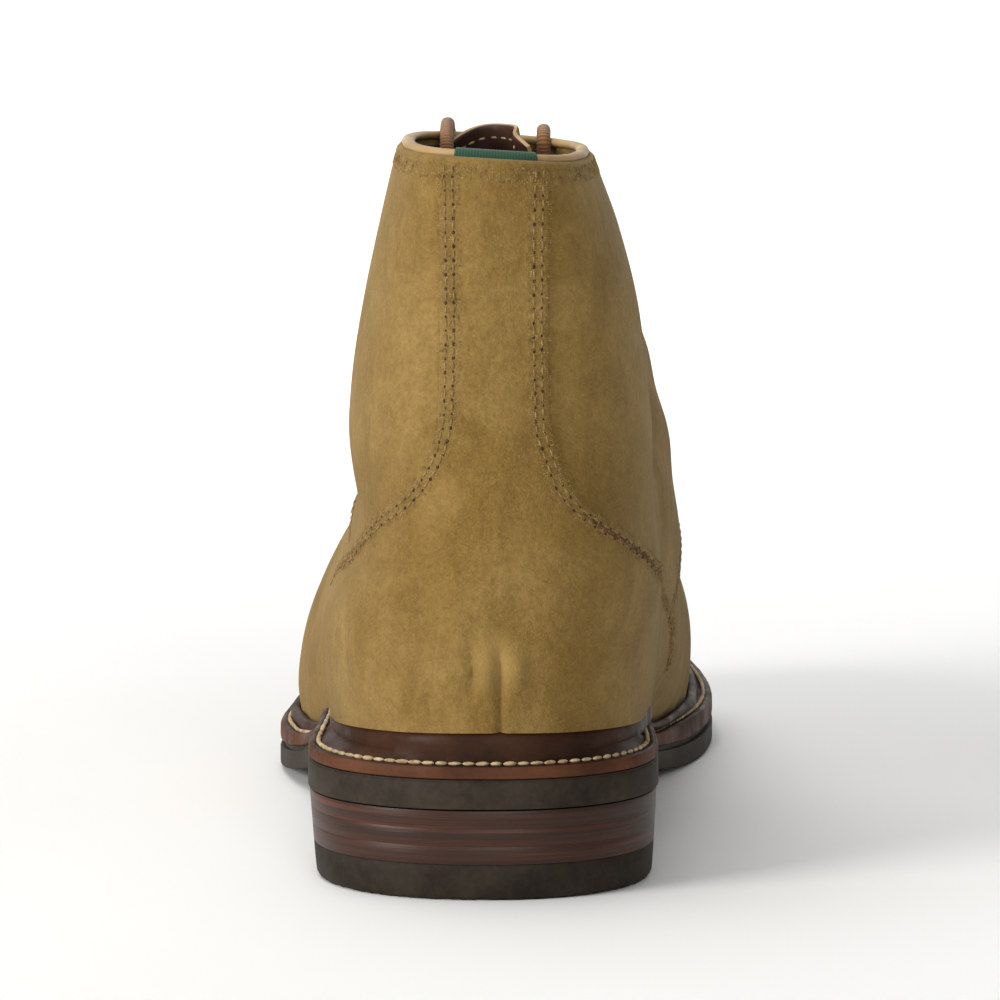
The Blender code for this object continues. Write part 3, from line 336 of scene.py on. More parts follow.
def cast(origin, direction, far=190.0, rounds=17):
    """Points where rays from inside the last leave it."""
    count = direction.shape[:-1]
    near, out = halved(lambda reach: last_field(origin + direction * reach[..., None]) < 0,
                       np.zeros(count), np.full(count, far), rounds)
    return origin + direction * (0.5 * (near + out))[..., None]


def onto(points, lift=0.0):
    """The nearest points of the last's surface, lifted off it."""
    p = np.array(points, float)
    for _ in range(3):
        grad = gradient(p)
        size = np.sum(grad * grad, axis=-1, keepdims=True)
        p = p - grad * last_field(p)[..., None] / size
    return p + normals(p) * np.asarray(lift)[..., None]


# ---- polylines -----------------------------------------------------------------------------------
def run_of(points):
    """Length along a polyline at each of its points."""
    return np.concatenate(((0,), np.cumsum(np.linalg.norm(np.diff(points, axis=0), axis=1))))


def points_at(marks, length, points):
    """Points of a polyline at given lengths along it."""
    return np.stack([np.interp(marks, length, points[:, k]) for k in range(3)], axis=-1)


def softened(line, rounds):
    """A polyline, or a grid from one side to the other, evened out between its ends."""
    line = np.array(line)
    for _ in range(rounds):
        line[1:-1] = 0.25 * line[:-2] + 0.5 * line[1:-1] + 0.25 * line[2:]
    return line


# ---- columns: vertical half planes round the boot ------------------------------------------------
STRAIGHT = TOE_PIVOT - HEEL_CENTRE


def station_at(y):
    """Station along the foot at y."""
    return 90 + y - HEEL_CENTRE


def planes(stations, side):
    """Pivots and outward directions. A station below 90 is an angle round the heel centre, then
    90 plus the distance along the foot, then degrees round the toe pivot."""
    stations = np.asarray(stations, float)
    heel, toe = stations < 90, stations > 90 + STRAIGHT
    angle = np.radians(np.where(heel, stations - 90, np.where(toe, stations - 90 - STRAIGHT, 0)))
    y = np.where(heel, HEEL_CENTRE, np.where(toe, TOE_PIVOT, HEEL_CENTRE + stations - 90))
    pivots = np.stack((ridge_x(y), y), axis=-1)
    return pivots, np.stack((side * np.cos(angle), np.sin(angle)), axis=-1)


class Column:
    """The last's outline in one vertical plane, from the welt line up, as a dense polyline."""

    def __init__(self, station, side, pivot, way, points):
        self.station, self.side, self.pivot, self.way = station, side, pivot, way
        floor = welt_top(points[:, 1]) + GAP
        first = int(np.argmax(points[:, 2] > floor))
        if first > 0:
            low, high = points[first - 1], points[first]
            low_gap, high_gap = low[2] - floor[first - 1], high[2] - floor[first]
            share = -low_gap / (high_gap - low_gap)
            points = np.vstack((low + (high - low) * share, points[first:]))
        self.points = points
        self.length = run_of(points)
        self.peak = int(np.argmax(points[:, 2]))
        self.top = self.find_top()

    def find_top(self):
        """Surface length at the collar or the throat edge, or at the ridge where both close."""
        ends = [self.length[-1]]
        over = self.points[:, 2] - collar_z(self.points[:, 0])
        self.collar = len(np.nonzero(over > 0)[0]) > 0
        if self.collar:
            ends.append(crossing(over, self.length, int(np.nonzero(over > 0)[0][0])))
        y = self.pivot[1]
        if self.way[1] == 0 and 90 < y <= THROAT_END:
            off = THROAT_HALF - np.abs(self.points[:, 0] - ridge_x(y))
            near = np.nonzero((off > 0) & (self.points[:, 2] > 60))[0]
            if len(near):
                ends.append(crossing(off, self.length, int(near[0])))
                self.collar = self.collar and ends[1] < ends[2]
        return min(ends)

    def at(self, length):
        length = np.clip(length, 0, self.length[-1])
        return points_at(length, self.length, self.points)

    def length_at_z(self, z):
        stop = self.peak + 1
        return float(np.interp(z, self.points[:stop, 2], self.length[:stop]))


def crossing(values, length, i):
    """Surface length where values pass zero, between points i - 1 and i."""
    share = -values[i - 1] / (values[i] - values[i - 1])
    return length[i - 1] + share * (length[i] - length[i - 1])


def columns_at(stations, side, count=110):
    """Columns at stations of one side, each from rays that fan out from the middle of the last."""
    pivots, ways = planes(stations, side)
    origin = np.column_stack((pivots, aim_height(pivots[:, 1])))[:, None, :]
    tilt = np.radians(np.linspace(-64, 90, count))
    rays = np.stack((ways[:, None, 0] * np.cos(tilt), ways[:, None, 1] * np.cos(tilt),
                     np.broadcast_to(np.sin(tilt), (len(ways), count))), axis=-1)
    points = cast(origin, rays)
    return [Column(s, side, p, w, q) for s, p, w, q in zip(stations, pivots, ways, points)]


def both_sides(stations, toe=False):
    """Columns from the far end of the lateral side round the heel to the medial side, or with
    toe from the heel side of the lateral round the toe."""
    lateral, medial = columns_at(stations, LATERAL), columns_at(stations, MEDIAL)
    return lateral + medial[-2::-1] if toe else lateral[:0:-1] + medial


def all_round(stations):
    """Columns from the middle of the heel along the lateral side and back along the medial."""
    return columns_at(stations, LATERAL) + columns_at(stations, MEDIAL)[-2:0:-1]


def corner_y(side):
    """y of the collar's front corner, where its edge turns down the throat."""
    def inside(y):
        x = ridge_x(y) + side * THROAT_HALF
        return last_field(np.array((x, y, collar_z(x)))) < 0

    return float(halved(inside, 90.0, 125.0, rounds=30)[0])


CORNER = corner_y(LATERAL)


def along(*marks, step=2.0):
    """Stations from mark to mark, about a step apart, with every mark itself kept."""
    parts = []
    for low, high in zip(marks[:-1], marks[1:]):
        count = max(1, int(math.ceil((high - low) / step)))
        parts.append(np.linspace(low, high, count + 1)[:-1])
    return np.concatenate(parts + [np.array(marks[-1:])])


TOE_FIRST = station_at(TOE_PIVOT)
HEEL_PART = along(0, STRIP_ANGLE[LATERAL], STRIP_ANGLE[MEDIAL], 90, step=2.5)


# ---- the brow: sections square to the ridge over the instep --------------------------------------
BROW_CENTRE = (94.0, 80.0)
BROW_DEPTH = 26.0


class Brow:
    """Points of the last over the instep, by length down the ridge from the collar edge and by
    surface length across it, lateral negative."""

    def __init__(self, count=160, reach=70, fine=57):
        angles = np.radians(np.linspace(86, -6, count))

        def ridge_point(reach):
            y, z = BROW_CENTRE[0] + reach * np.cos(angles), BROW_CENTRE[1] + reach * np.sin(angles)
            return np.stack((ridge_x(y), y, z), axis=-1)

        near, _ = halved(lambda reach: last_field(ridge_point(reach)) < 0,
                         np.zeros(count), np.full(count, 190.0), rounds=24)
        line = ridge_point(near)
        length = run_of(line[:, 1:])
        length = length - np.interp(-COLLAR_Z, -line[:, 2], length)
        self.end = float(np.interp(THROAT_END, line[:, 1], length))
        self.downs = np.linspace(-14, self.end + 16, 70)
        ridge = points_at(self.downs, length, line)
        ahead = unit(np.gradient(ridge, axis=0))
        out = unit(np.stack((np.zeros(len(ahead)), -ahead[:, 2], ahead[:, 1]), axis=-1))
        turn = np.radians(np.linspace(-reach, reach, fine))
        rays = out[:, None, :] * np.cos(turn)[None, :, None]
        rays[..., 0] += np.sin(turn)
        points = cast((ridge - out * BROW_DEPTH)[:, None, :], rays, far=90.0)
        step = np.linalg.norm(np.diff(points, axis=1), axis=-1)
        length = np.concatenate((np.zeros((len(points), 1)), np.cumsum(step, axis=1)), axis=1)
        length -= length[:, fine // 2:fine // 2 + 1]
        self.widths = np.linspace(-34, 34, 69)
        self.grid = np.array([points_at(self.widths, row, p) for row, p in zip(length, points)])

    def at(self, down, across, lift=0.0):
        """Points and normals for arrays of the same shape."""
        down, across = np.broadcast_arrays(np.asarray(down, float), np.asarray(across, float))
        i, j = (np.clip((value - marks[0]) / (marks[1] - marks[0]), 0, len(marks) - 1.001)
                for value, marks in ((down, self.downs), (across, self.widths)))
        a, b = i.astype(int), j.astype(int)
        s, t = (i - a)[..., None], (j - b)[..., None]
        g = self.grid
        p = (g[a, b] * (1 - s) * (1 - t) + g[a + 1, b] * s * (1 - t)
             + g[a, b + 1] * (1 - s) * t + g[a + 1, b + 1] * s * t)
        ways = normals(p)
        return p + ways * np.asarray(lift)[..., None], ways


BROW = Brow()


# ---- meshes --------------------------------------------------------------------------------------
def place(points):
    """Points in mm in the shoe's frame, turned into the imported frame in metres."""
    return (np.asarray(points, float) + SHIFT) * MM


def link(name, data):
    """A new object in the scene."""
    made = bpy.data.objects.new(name, data)
    bpy.context.scene.collection.objects.link(made)
    return made


def build(name, points, faces, materials, face_materials=None, uv=None, sharp=40.0):
    """A mesh piece from points in mm and an array or list of faces."""
    mesh = bpy.data.meshes.new(name)
    mesh.from_pydata(place(points), [], faces)
    for finish in materials if isinstance(materials, (list, tuple)) else [materials]:
        mesh.materials.append(finish)
    if face_materials is not None:
        mesh.polygons.foreach_set("material_index", np.asarray(face_materials, np.int32))
    if uv is not None:
        corner = np.empty(len(mesh.loops), np.int32)
        mesh.loops.foreach_get("vertex_index", corner)
        layer = mesh.uv_layers.new(name="along")
        layer.data.foreach_set("uv", np.asarray(uv, np.float32)[corner].ravel())
    mesh.shade_smooth()
    mesh.set_sharp_from_angle(angle=math.radians(sharp))
    mesh.validate()
    return link(name, mesh)


def show(piece, slot, *nodes):
    """Ties a piece to the one body and hides the solids that it stands for; its slot is not used."""
    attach(piece, "root")
    if nodes:
        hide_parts(*nodes)
    return piece


def quads(rows, columns, wrap=False, start=0, flip=False):
    """Faces of a grid of points whose index is column * rows + row."""
    i = np.arange(columns if wrap else columns - 1)
    j = np.arange(rows - 1)
    a = (i[:, None] * rows + j[None, :]).ravel()
    b = (((i[:, None] + 1) % columns) * rows + j[None, :]).ravel()
    faces = np.stack((a, b, b + 1, a + 1), axis=-1) + start
    return faces[:, ::-1] if flip else faces


def face_sides(faces, front, rim):
    """Material numbers of a solid sheet's faces: 0 outside, 1 inside, and the rim's own."""
    numbers = np.full(len(faces), rim)
    numbers[:front], numbers[front:2 * front] = 0, 1
    return numbers


def level_faces(levels, count, closed=False):
    """Faces between closed lines, level by level; closed joins the last line to the first."""
    i = np.arange(count)
    j = (i + 1) % count
    starts = [(k * count, (k + 1) % levels * count) for k in range(levels if closed else levels - 1)]
    return np.vstack([np.stack((a + i, a + j, b + j, b + i), axis=-1) for a, b in starts])


def spokes(side, up, count):
    """Directions all round a line, from two ways square to it."""
    angle = 2 * np.pi * np.arange(count)[:, None] / count
    return side[..., None, :] * np.cos(angle) + up[..., None, :] * np.sin(angle)


def tube_uv(run, sides):
    """uv of a capped tube: length along it in mm, and the number of its side."""
    return np.column_stack((np.append(np.repeat(run, sides), (run[0], run[-1])),
                            np.append(np.tile(np.arange(sides) * 1.0, len(run)), (0, 0))))


def solid_sheet(outer, inner, wrap=False):
    """Points and faces of a closed solid between two grids of points, and its face count a side:
    first the outer faces, then the inner ones, then the rim."""
    columns, rows = outer.shape[:2]
    total = rows * columns
    front = quads(rows, columns, wrap)
    back = quads(rows, columns, wrap, start=total, flip=True)
    i = np.arange(columns if wrap else columns - 1)
    k = (i + 1) % columns
    low = np.stack((i * rows, i * rows + total, k * rows + total, k * rows), axis=-1)
    high = np.stack((k, k, i, i), axis=-1) * rows + rows - 1
    high[:, 1] += total
    high[:, 2] += total
    rim = [low, high]
    if not wrap:
        j = np.arange(rows - 1)
        last = (columns - 1) * rows
        rim.append(np.stack((j, j + 1, j + 1 + total, j + total), axis=-1))
        rim.append(np.stack((last + j + 1, last + j, last + j + total, last + j + 1 + total), axis=-1))
    points = np.vstack((outer.reshape(-1, 3), inner.reshape(-1, 3)))
    faces = np.vstack([front, back] + rim)
    if signed_volume(points, faces) < 0:
        faces = faces[:, ::-1]
    return points, faces, len(front)


def signed_volume(points, faces):
    """Below zero where four-sided faces look inwards."""
    a, b, c, d = (points[faces[:, k]] for k in range(4))
    return float(np.sum(a * np.cross(b, c)) + np.sum(a * np.cross(c, d)))


def merged(parts):
    """One list of points and faces from several."""
    points, faces, start = [], [], 0
    for p, f in parts:
        points.append(p)
        faces.append(f + start)
        start += len(p)
    return np.vstack(points), np.vstack(faces)


def rounded(distance, radius):
    """Height of a rounded edge, as a share of the full thickness, at a distance from it."""
    t = np.clip(distance / radius, 0, 1)
    return np.sqrt(1 - (1 - t) ** 2)


def between(low, high, count, fine=(0.0, 0.12, 0.4, 0.9)):
    """Lengths from low to high in one column, close together at both ends."""
    fine = np.array(fine) * min(1.0, (high - low) / 6)
    middle = np.linspace(low + fine[-1], high - fine[-1], count)[1:-1]
    return np.concatenate((low + fine, middle, high - fine[::-1]))


# ---- small repeated things -----------------------------------------------------------------------
def pill(rings=4, sides=8):
    """A capsule along x, half length 1, radius 1: points and faces."""
    levels = [(-1.0, 0.0)]
    for k in range(rings):
        turn = math.pi * (k + 0.5) / rings
        levels.append((-math.cos(turn), math.sin(turn)))
    levels.append((1.0, 0.0))
    points, faces = [], []
    for x, r in levels:
        for s in range(sides):
            turn = 2 * math.pi * s / sides
            points.append((x, r * math.cos(turn), r * math.sin(turn)))
    for k in range(len(levels) - 1):
        for s in range(sides):
            t = (s + 1) % sides
            faces.append((k * sides + s, k * sides + t, (k + 1) * sides + t, (k + 1) * sides + s))
    return np.array(points), np.array(faces)


PILL = pill()


def scatter(places, ahead, up, sizes, shape=PILL):
    """Copies of a small shape, each with its own place, directions and three half sizes."""
    ahead = unit(ahead)
    side = unit(np.cross(up, ahead))
    up = np.cross(ahead, side)
    points, faces = shape
    sizes = np.broadcast_to(np.asarray(sizes, float), (len(places), 3))
    local = points[None, :, :] * sizes[:, None, :]
    spread = (places[:, None, :] + local[..., :1] * ahead[:, None, :]
              + local[..., 1:2] * side[:, None, :] + local[..., 2:] * up[:, None, :])
    count = len(points)
    shifts = (np.arange(len(places)) * count)[:, None, None]
    return spread.reshape(-1, 3), (faces[None] + shifts).reshape(-1, 4)


def respaced(path, pitch):
    """Points along a polyline a pitch apart, and the directions there."""
    length = run_of(path)
    count = max(2, int(round(length[-1] / pitch)))
    marks = (np.arange(count) + 0.5) * length[-1] / count
    at, near, far = (points_at(marks + step, length, path) for step in (0.0, -0.3, 0.3))
    return at, unit(far - near)


def beside(path, offset, lift):
    """A path moved sideways along the last's surface, to the left of its direction seen from
    outside, then lifted off the surface."""
    ahead = unit(np.gradient(path, axis=0))
    left = unit(np.cross(normals(path), ahead))
    return onto(path + left * offset, lift)


HOLE = (0.42, 0.32, 0.14)       # half sizes of the dark mark of painted shade at a needle hole


def eased(path, spacing=1.0, rounds=8):
    """A path with its sharp turns rounded, on the last's surface."""
    return onto(softened(respaced(path, spacing)[0], rounds))


def stitches(path, lift, pitch, half, share, seed):
    """Threads of one row on the last's surface, and dark marks of painted shade at its needle holes: two
    lists of points and faces.
    half is the thread's half width, share the thread's half length as a share of the pitch."""
    random = np.random.default_rng(seed)
    at, ahead = respaced(onto(path), pitch)
    ways = normals(at)
    jitter = random.uniform(-1, 1, (len(at), 3))
    side = np.cross(ways, ahead)
    threads = scatter(at + ways * (lift + relief(at) + 0.06)[:, None] + side * jitter[:, :1] * 0.10,
                      ahead + side * jitter[:, 1:2] * 0.05, ways,
                      (pitch * share, half, half * 0.75))
    spot = onto(at + ahead * pitch * 0.5)
    ways = normals(spot)
    high = lift + relief(spot) - 0.04
    sizes = random.uniform(0.8, 1.2, (len(spot), 1)) * np.array(HOLE)
    return threads, scatter(spot + ways * high[:, None], ahead, ways, sizes)


FIBRE = pill(rings=1, sides=4)
FIBRE_THICK = 0.085


def fibres(path, near, far, count, lift, seed, reach=(0.14, 0.45)):
    """Loose fibres of a raw or pierced edge, spread beside a path from near to far."""
    random = np.random.default_rng(seed)
    fine, ahead = respaced(path, 0.5)
    pick = random.integers(0, len(fine), count)
    ahead = ahead[pick]
    side = np.cross(normals(fine)[pick], ahead)
    out = near + (far - near) * random.uniform(0, 1, count)
    spot = onto(fine[pick] + side * out[:, None])
    ways = normals(spot)
    turn = random.uniform(0, 2 * np.pi, count)[:, None]
    lean = ways * random.uniform(-0.1, 0.45, count)[:, None]
    high = np.asarray(lift) + relief(spot) + 0.04
    sizes = random.uniform(*reach, count)[:, None] * (1, 0, 0) + np.array((0, 1, 1)) * FIBRE_THICK
    return scatter(spot + ways * high[:, None], ahead * np.cos(turn) + side * np.sin(turn) + lean,
                   ways, sizes, FIBRE)


# ---- materials -----------------------------------------------------------------------------------
class Paint:
    """A Principled material whose nodes are written as nested calls."""

    def __init__(self, name, roughness=0.6, metallic=0.0, specular=0.5):
        self.material = bpy.data.materials.new(name)
        self.material.use_nodes = True
        self.tree = self.material.node_tree
        self.shader = self.tree.nodes["Principled BSDF"]
        self.set(Roughness=roughness, Metallic=metallic)
        self.shader.inputs["Specular IOR Level"].default_value = specular
        self.where = self.tree.nodes.new("ShaderNodeTexCoord").outputs["Object"]

    def set(self, **values):
        """Inputs of the shader by name, with _ for a space."""
        for key, value in values.items():
            self.plug(self.shader, key.replace("_", " "), value)

    def plug(self, node, key, value):
        target = node.inputs[key]
        if isinstance(value, bpy.types.NodeSocket):
            self.tree.links.new(value, target)
        elif hasattr(value, "__len__") and len(value) == 3 and target.type == "RGBA":
            target.default_value = (*value, 1.0)
        else:
            target.default_value = value

    def node(self, kind, output=0, options=(), **inputs):
        """One output of a new node. Its inputs are given by name, or by number as i0, i1."""
        made = self.tree.nodes.new("ShaderNode" + kind)
        for key, value in dict(options).items():
            setattr(made, key, value)
        for key, value in inputs.items():
            if key[0] == "i" and key[1:].isdigit():
                self.plug(made, int(key[1:]), value)
            else:
                self.plug(made, key.replace("_", " "), value)
        return made.outputs[output]

    def stretched(self, x, y, z):
        """Object coordinates in metres, scaled apart along the axes."""
        return self.node("Mapping", Vector=self.where, Scale=(x, y, z))

    def uv(self, x):
        """The piece's own uv, scaled along its length."""
        made = self.node("UVMap", options={"uv_map": "along"})
        return self.node("Mapping", Vector=made, Scale=(x, 1.0, 1.0))

    def noise(self, scale, detail=3.0, rough=0.55, where=None, twist=0.0):
        return self.node("TexNoise", Vector=where or self.where, Scale=scale, Detail=detail,
                         Roughness=rough, Distortion=twist)

    def between(self, value, low, high, to_low=0.0, to_high=1.0):
        """A value's range from low to high stretched to another one and cut off there."""
        return self.node("MapRange", Value=value, i1=low, i2=high, i3=to_low, i4=to_high)

    def mix(self, share, a, b):
        return self.node("Mix", output=2, options={"data_type": "RGBA"}, i0=share, i6=a, i7=b)

    def tinted(self, colour, mask, share, tone):
        """A colour taken towards a tone by a share of a mask."""
        part = self.node("Math", options={"operation": "MULTIPLY"}, i0=mask, i1=share)
        return self.mix(part, colour, tone)

    def near_point(self, middle, reach):
        """1 at a point of the last, fading to 0 at a reach in mm along each axis."""
        made = tuple(1 / (r * MM) for r in reach)
        centre = tuple(-(m + s) * MM * k for m, s, k in zip(middle, SHIFT, made))
        where = self.node("Mapping", Vector=self.where, Scale=made, Location=centre)
        gap = self.node("VectorMath", output=1, options={"operation": "LENGTH"}, i0=where)
        return self.between(gap, 1.0, 0.25)

    def bumped(self, height, distance, strength=1.0, normal=None):
        inputs = {"Height": height, "Distance": distance, "Strength": strength}
        if normal is not None:
            inputs["Normal"] = normal
        return self.node("Bump", **inputs)

    def grained(self, *layers, normal=None):
        """Bumps of noise one over another: scale, detail, roughness, distance, strength."""
        for scale, detail, rough, distance, strength in layers:
            normal = self.bumped(self.noise(scale, detail, rough), distance, strength, normal)
        return normal


def suede():
    """Napped split leather: brushed lighter and darker patches, a lighter patch by the dart that is
    partly worn nap and partly painted highlight, a fine fibrous grain, soft sheen.
    """
    p = Paint("sand_suede_nap", roughness=0.95, specular=0.12)
    dark, middle, light = (0.096, 0.0525, 0.0110), (0.186, 0.1105, 0.0260), (0.292, 0.190, 0.063)
    broad = p.between(p.noise(30, 4.0, 0.6, twist=0.8), 0.38, 0.64)
    brushed = p.between(p.noise(62, 4.0, 0.65, where=p.stretched(1.3, 1.0, 0.5), twist=1.4), 0.46, 0.70)
    cloudy = p.between(p.noise(170, 4.0, 0.65, twist=0.6), 0.42, 0.68)
    speck = p.between(p.noise(820, 3.0, 0.7, twist=0.5), 0.40, 0.66)
    fibre = p.between(p.noise(1900, 3.0, 0.7, twist=0.8), 0.46, 0.68)
    # Lighter patch on the cheeks beside the dart: partly worn nap, partly a painted highlight on the
    # swelling.
    rubbed_and_lit = p.near_point((DART_X, 4.0, 50.5), (7.0, 20.0, 8.0))
    colour = middle
    for mask, share, tone in ((broad, 0.72, light), (brushed, 0.42, dark), (cloudy, 0.28, dark),
                              (speck, 0.40, dark), (fibre, 0.42, light), (rubbed_and_lit, 0.80, light)):
        colour = p.tinted(colour, mask, share, tone)
    nap = p.grained((1900, 3.0, 0.7, 0.00022, 0.9), (620, 3.0, 0.65, 0.0004, 0.75),
                    (150, 3.0, 0.55, 0.0008, 0.45))
    p.set(Base_Color=colour, Normal=nap)
    p.set(Sheen_Weight=0.14, Sheen_Roughness=0.5)
    p.shader.inputs["Sheen Tint"].default_value = (0.95, 0.80, 0.55, 1.0)
    return p.material


def smooth_leather(name, dark, light, roughness, specular=0.4):
    """Finished leather: two close tones, fine pores, faint scuffs in its gloss."""
    p = Paint(name, roughness=roughness, specular=specular)
    tone = p.between(p.noise(60, 4.0, 0.6), 0.35, 0.65)
    fine = p.between(p.noise(420, 3.0, 0.6), 0.35, 0.65)
    colour = p.tinted(p.mix(tone, dark, light), fine, 0.25, dark)
    gloss = p.between(p.noise(110, 4.0, 0.6), 0.3, 0.7, roughness * (1 - 0.3), roughness * (1 + 0.3))
    bump = p.grained((900, 3.0, 0.55, 0.00012, 0.6), (140, 2.0, 0.5, 0.0004, 0.3))
    p.set(Base_Color=colour, Normal=bump, Roughness=gloss)
    return p.material


def stacked_leather():
    """Waxed edge of a stacked heel: thin level layers in reddish and dark brown."""
    p = Paint("stacked_heel_edge", roughness=0.42, specular=0.2)
    layers = p.between(p.noise(9, 4.0, 0.65, where=p.stretched(1, 1, 95)), 0.36, 0.64)
    strands = p.between(p.noise(14, 4.0, 0.7, where=p.stretched(1, 1, 70)), 0.54, 0.66)
    patches = p.between(p.noise(45, 3.0, 0.5), 0.35, 0.68)
    colour = p.mix(layers, (0.022, 0.0092, 0.0050), (0.054, 0.0200, 0.0100))
    colour = p.tinted(colour, strands, 0.55, (0.150, 0.036, 0.018))
    colour = p.tinted(colour, patches, 0.45, (0.024, 0.0125, 0.0085))
    bump = p.bumped(p.noise(60, 3.0, 0.6, where=p.stretched(1, 1, 30)), 0.00018, 0.5)
    p.set(Base_Color=colour, Normal=bump, Coat_Weight=0.06, Coat_Roughness=0.3)
    return p.material


def rubber(name, lift):
    """Dull rubber with a little dust; lift makes all its tones lighter or darker."""
    p = Paint(name, roughness=0.6, specular=0.10)
    dark, light, dusty = (tuple(lift * c for c in tone) for tone in (
        (0.018, 0.0130, 0.0088), (0.034, 0.0255, 0.0175), (0.075, 0.058, 0.042)))
    tone = p.between(p.noise(80, 4.0, 0.6), 0.35, 0.65)
    dust = p.between(p.noise(500, 4.0, 0.65), 0.40, 0.75)
    colour = p.tinted(p.mix(tone, dark, light), dust, 0.22, dusty)
    bump = p.grained((700, 3.0, 0.6, 0.00014, 0.6), (90, 2.0, 0.5, 0.0004, 0.35))
    p.set(Base_Color=colour, Normal=bump)
    return p.material


def cloth(name, dark, light, ribs, depth=0.6):
    """Cord or tape: fine ribs along the piece's own length, from its uv in mm."""
    p = Paint(name, roughness=0.85, specular=0.25)
    wave = p.node("TexWave", options={"wave_type": "BANDS", "bands_direction": "X"},
                  Vector=p.uv(ribs), Scale=0.3183, Distortion=0.6, Detail=1.0)
    fuzz = p.between(p.noise(1800, 3.0, 0.7), 0.3, 0.7)
    colour = p.tinted(p.mix(wave, dark, light), fuzz, 0.35, dark)
    bump = p.grained((2600, 3.0, 0.7, 0.00016, 0.6), normal=p.bumped(wave, 0.00025, depth))
    p.set(Base_Color=colour, Normal=bump, Sheen_Weight=0.2, Sheen_Roughness=0.5)
    return p.material


def thread(name, dark, light, roughness=0.7):
    """Waxed thread, a fibre, or a dark mark of painted shade: two tones and a fine grain."""
    p = Paint(name, roughness=roughness, specular=0.35)
    tone = p.between(p.noise(700, 3.0, 0.6), 0.35, 0.65)
    p.set(Base_Color=p.mix(tone, dark, light), Normal=p.bumped(p.noise(3200, 2.0, 0.6), 0.0001, 0.6))
    return p.material


def brass():
    """Dull, uneven brass of the eyelets."""
    p = Paint("aged_brass_ring", roughness=0.35, metallic=1.0)
    tone = p.between(p.noise(400, 3.0, 0.6), 0.35, 0.65)
    p.set(Base_Color=p.mix(tone, (0.20, 0.12, 0.05), (0.45, 0.30, 0.14)),
          Roughness=p.between(p.noise(900, 3.0, 0.6), 0.3, 0.7, 0.25, 0.5))
    return p.material


# ---- relief: the creases and soft hollows of the worn leather ------------------------------------
DART_X = 3.4            # the counter is taken in by a short upright dart here
DART_TOP = 53.5
DART_DEPTH, DART_HALF = 1.0, 0.8
CHEEK_Z = 48.5          # the leather swells on both sides of the dart at this height
CHEEK_OUT = 0.95
SIDE_DENT = 0.85        # and sinks again on the lateral side


def relief(p):
    """How far the suede stands out from the last at points of its surface, in mm."""
    x, y, z = p[..., 0], p[..., 1], p[..., 2]
    rear = 1 - ramp(y, 20, 34)
    across = x - DART_X
    out = -DART_DEPTH * rear * (1 - ramp(z, DART_TOP - 5, DART_TOP + 2)) * bell(across, DART_HALF)
    cheeks = bell(across - 3.1, 2.1) + 0.9 * bell(across + 2.7, 1.7)
    out = out + CHEEK_OUT * rear * bell(z - CHEEK_Z, 5.0) * cheeks
    out = out - SIDE_DENT * rear * bell(z - CHEEK_Z, 3.8) * bell(across + 5.4, 0.9)
    # Broad hollows where the shaft has been handled and bent over the counter.
    shaft = ramp(z, 72, 88)
    out = out + 0.45 * shaft * np.sin(0.16 * x + 0.045 * z + 0.8) * np.cos(0.05 * y + 0.03 * z)
    out = out - 0.55 * bell(z - (80 + 0.12 * (y - 40)), 5) * ramp(y, 18, 40) * (1 - ramp(y, 90, 120))
    # Shallow folds across the instep and the tread line.
    flex = ramp(y, 150, 185) * (1 - ramp(y, 225, 255)) * (1 - ramp(z, 66, 92))
    out = out + 0.30 * flex * np.sin(0.34 * y + 0.06 * x)
    ankle = ramp(y, 88, 104) * (1 - ramp(y, 128, 150)) * bell(z - 96, 26)
    return out + 0.40 * ankle * np.sin(0.30 * z + 0.16 * y)


def dress(points, lift):
    """Points of the last's surface moved out by a lift and the relief."""
    return points + normals(points) * (np.asarray(lift) + relief(points))[..., None]


def grid_of(columns, spans, rows):
    """Points of a panel: spans holds the lowest and highest surface length in each column."""
    return np.array([c.at(between(low, high, rows)) for c, (low, high) in zip(columns, spans)])


def shell_of(outer, inner, faces):
    """Points and faces of a closed solid between two copies of any sheet of faces."""
    count = len(outer)
    edges = np.vstack([faces[:, [k, (k + 1) % 4]] for k in range(4)])
    edges = edges[edges[:, 0] != edges[:, 1]]
    key, reverse = edges[:, 0] * count + edges[:, 1], edges[:, 1] * count + edges[:, 0]
    open_edges = edges[~np.isin(key, reverse)]
    rim = np.column_stack((open_edges[:, 1], open_edges[:, 0], open_edges[:, 0] + count,
                           open_edges[:, 1] + count))
    solid = np.vstack((faces, faces[:, ::-1] + count, rim))
    points = np.vstack((outer, inner))
    if signed_volume(points, solid) < 0:
        solid = solid[:, ::-1]
    return points, solid


def distance_to(points, path, chunk=4000):
    """Distance from each point to the nearest point of a finely spaced path."""
    fine = respaced(path, 0.4)[0]
    flat = points.reshape(-1, 3)
    parts = []
    for start in range(0, len(flat), chunk):
        gap = flat[start:start + chunk, None, :] - fine[None]
        parts.append(np.sqrt((gap ** 2).sum(axis=-1).min(axis=1)))
    return np.concatenate(parts).reshape(points.shape[:-1])


# ---- upper ---------------------------------------------------------------------------------------
QUARTER_SEAT, QUARTER_THICK = 0.12, 1.35
COUNTER_SEAT, COUNTER_THICK = 1.55, 1.0
QUARTER_LIFT = QUARTER_SEAT + QUARTER_THICK
COUNTER_LIFT = COUNTER_SEAT + COUNTER_THICK
APRON_SEAT, APRON_THICK, APRON_RIM = 0.3, 1.9, 3.2
RING_STATIONS = np.concatenate((
    HEEL_PART[:-1],
    along(90, station_at(CORNER - 3), station_at(CORNER), station_at(THROAT_END), step=2.2),
    along(station_at(THROAT_END + 0.8), TOE_FIRST, TOE_FIRST + 90, step=2.6)))


def counter_top(column):
    """Surface length at the counter's top edge."""
    return column.length_at_z(float(counter_z[column.side](column.station)))


def rand_top(column):
    """Surface length just under the top of the welt's rib."""
    return column.length_at_z(column.points[0][2] + float(rand_height(column.station)) - 0.3)


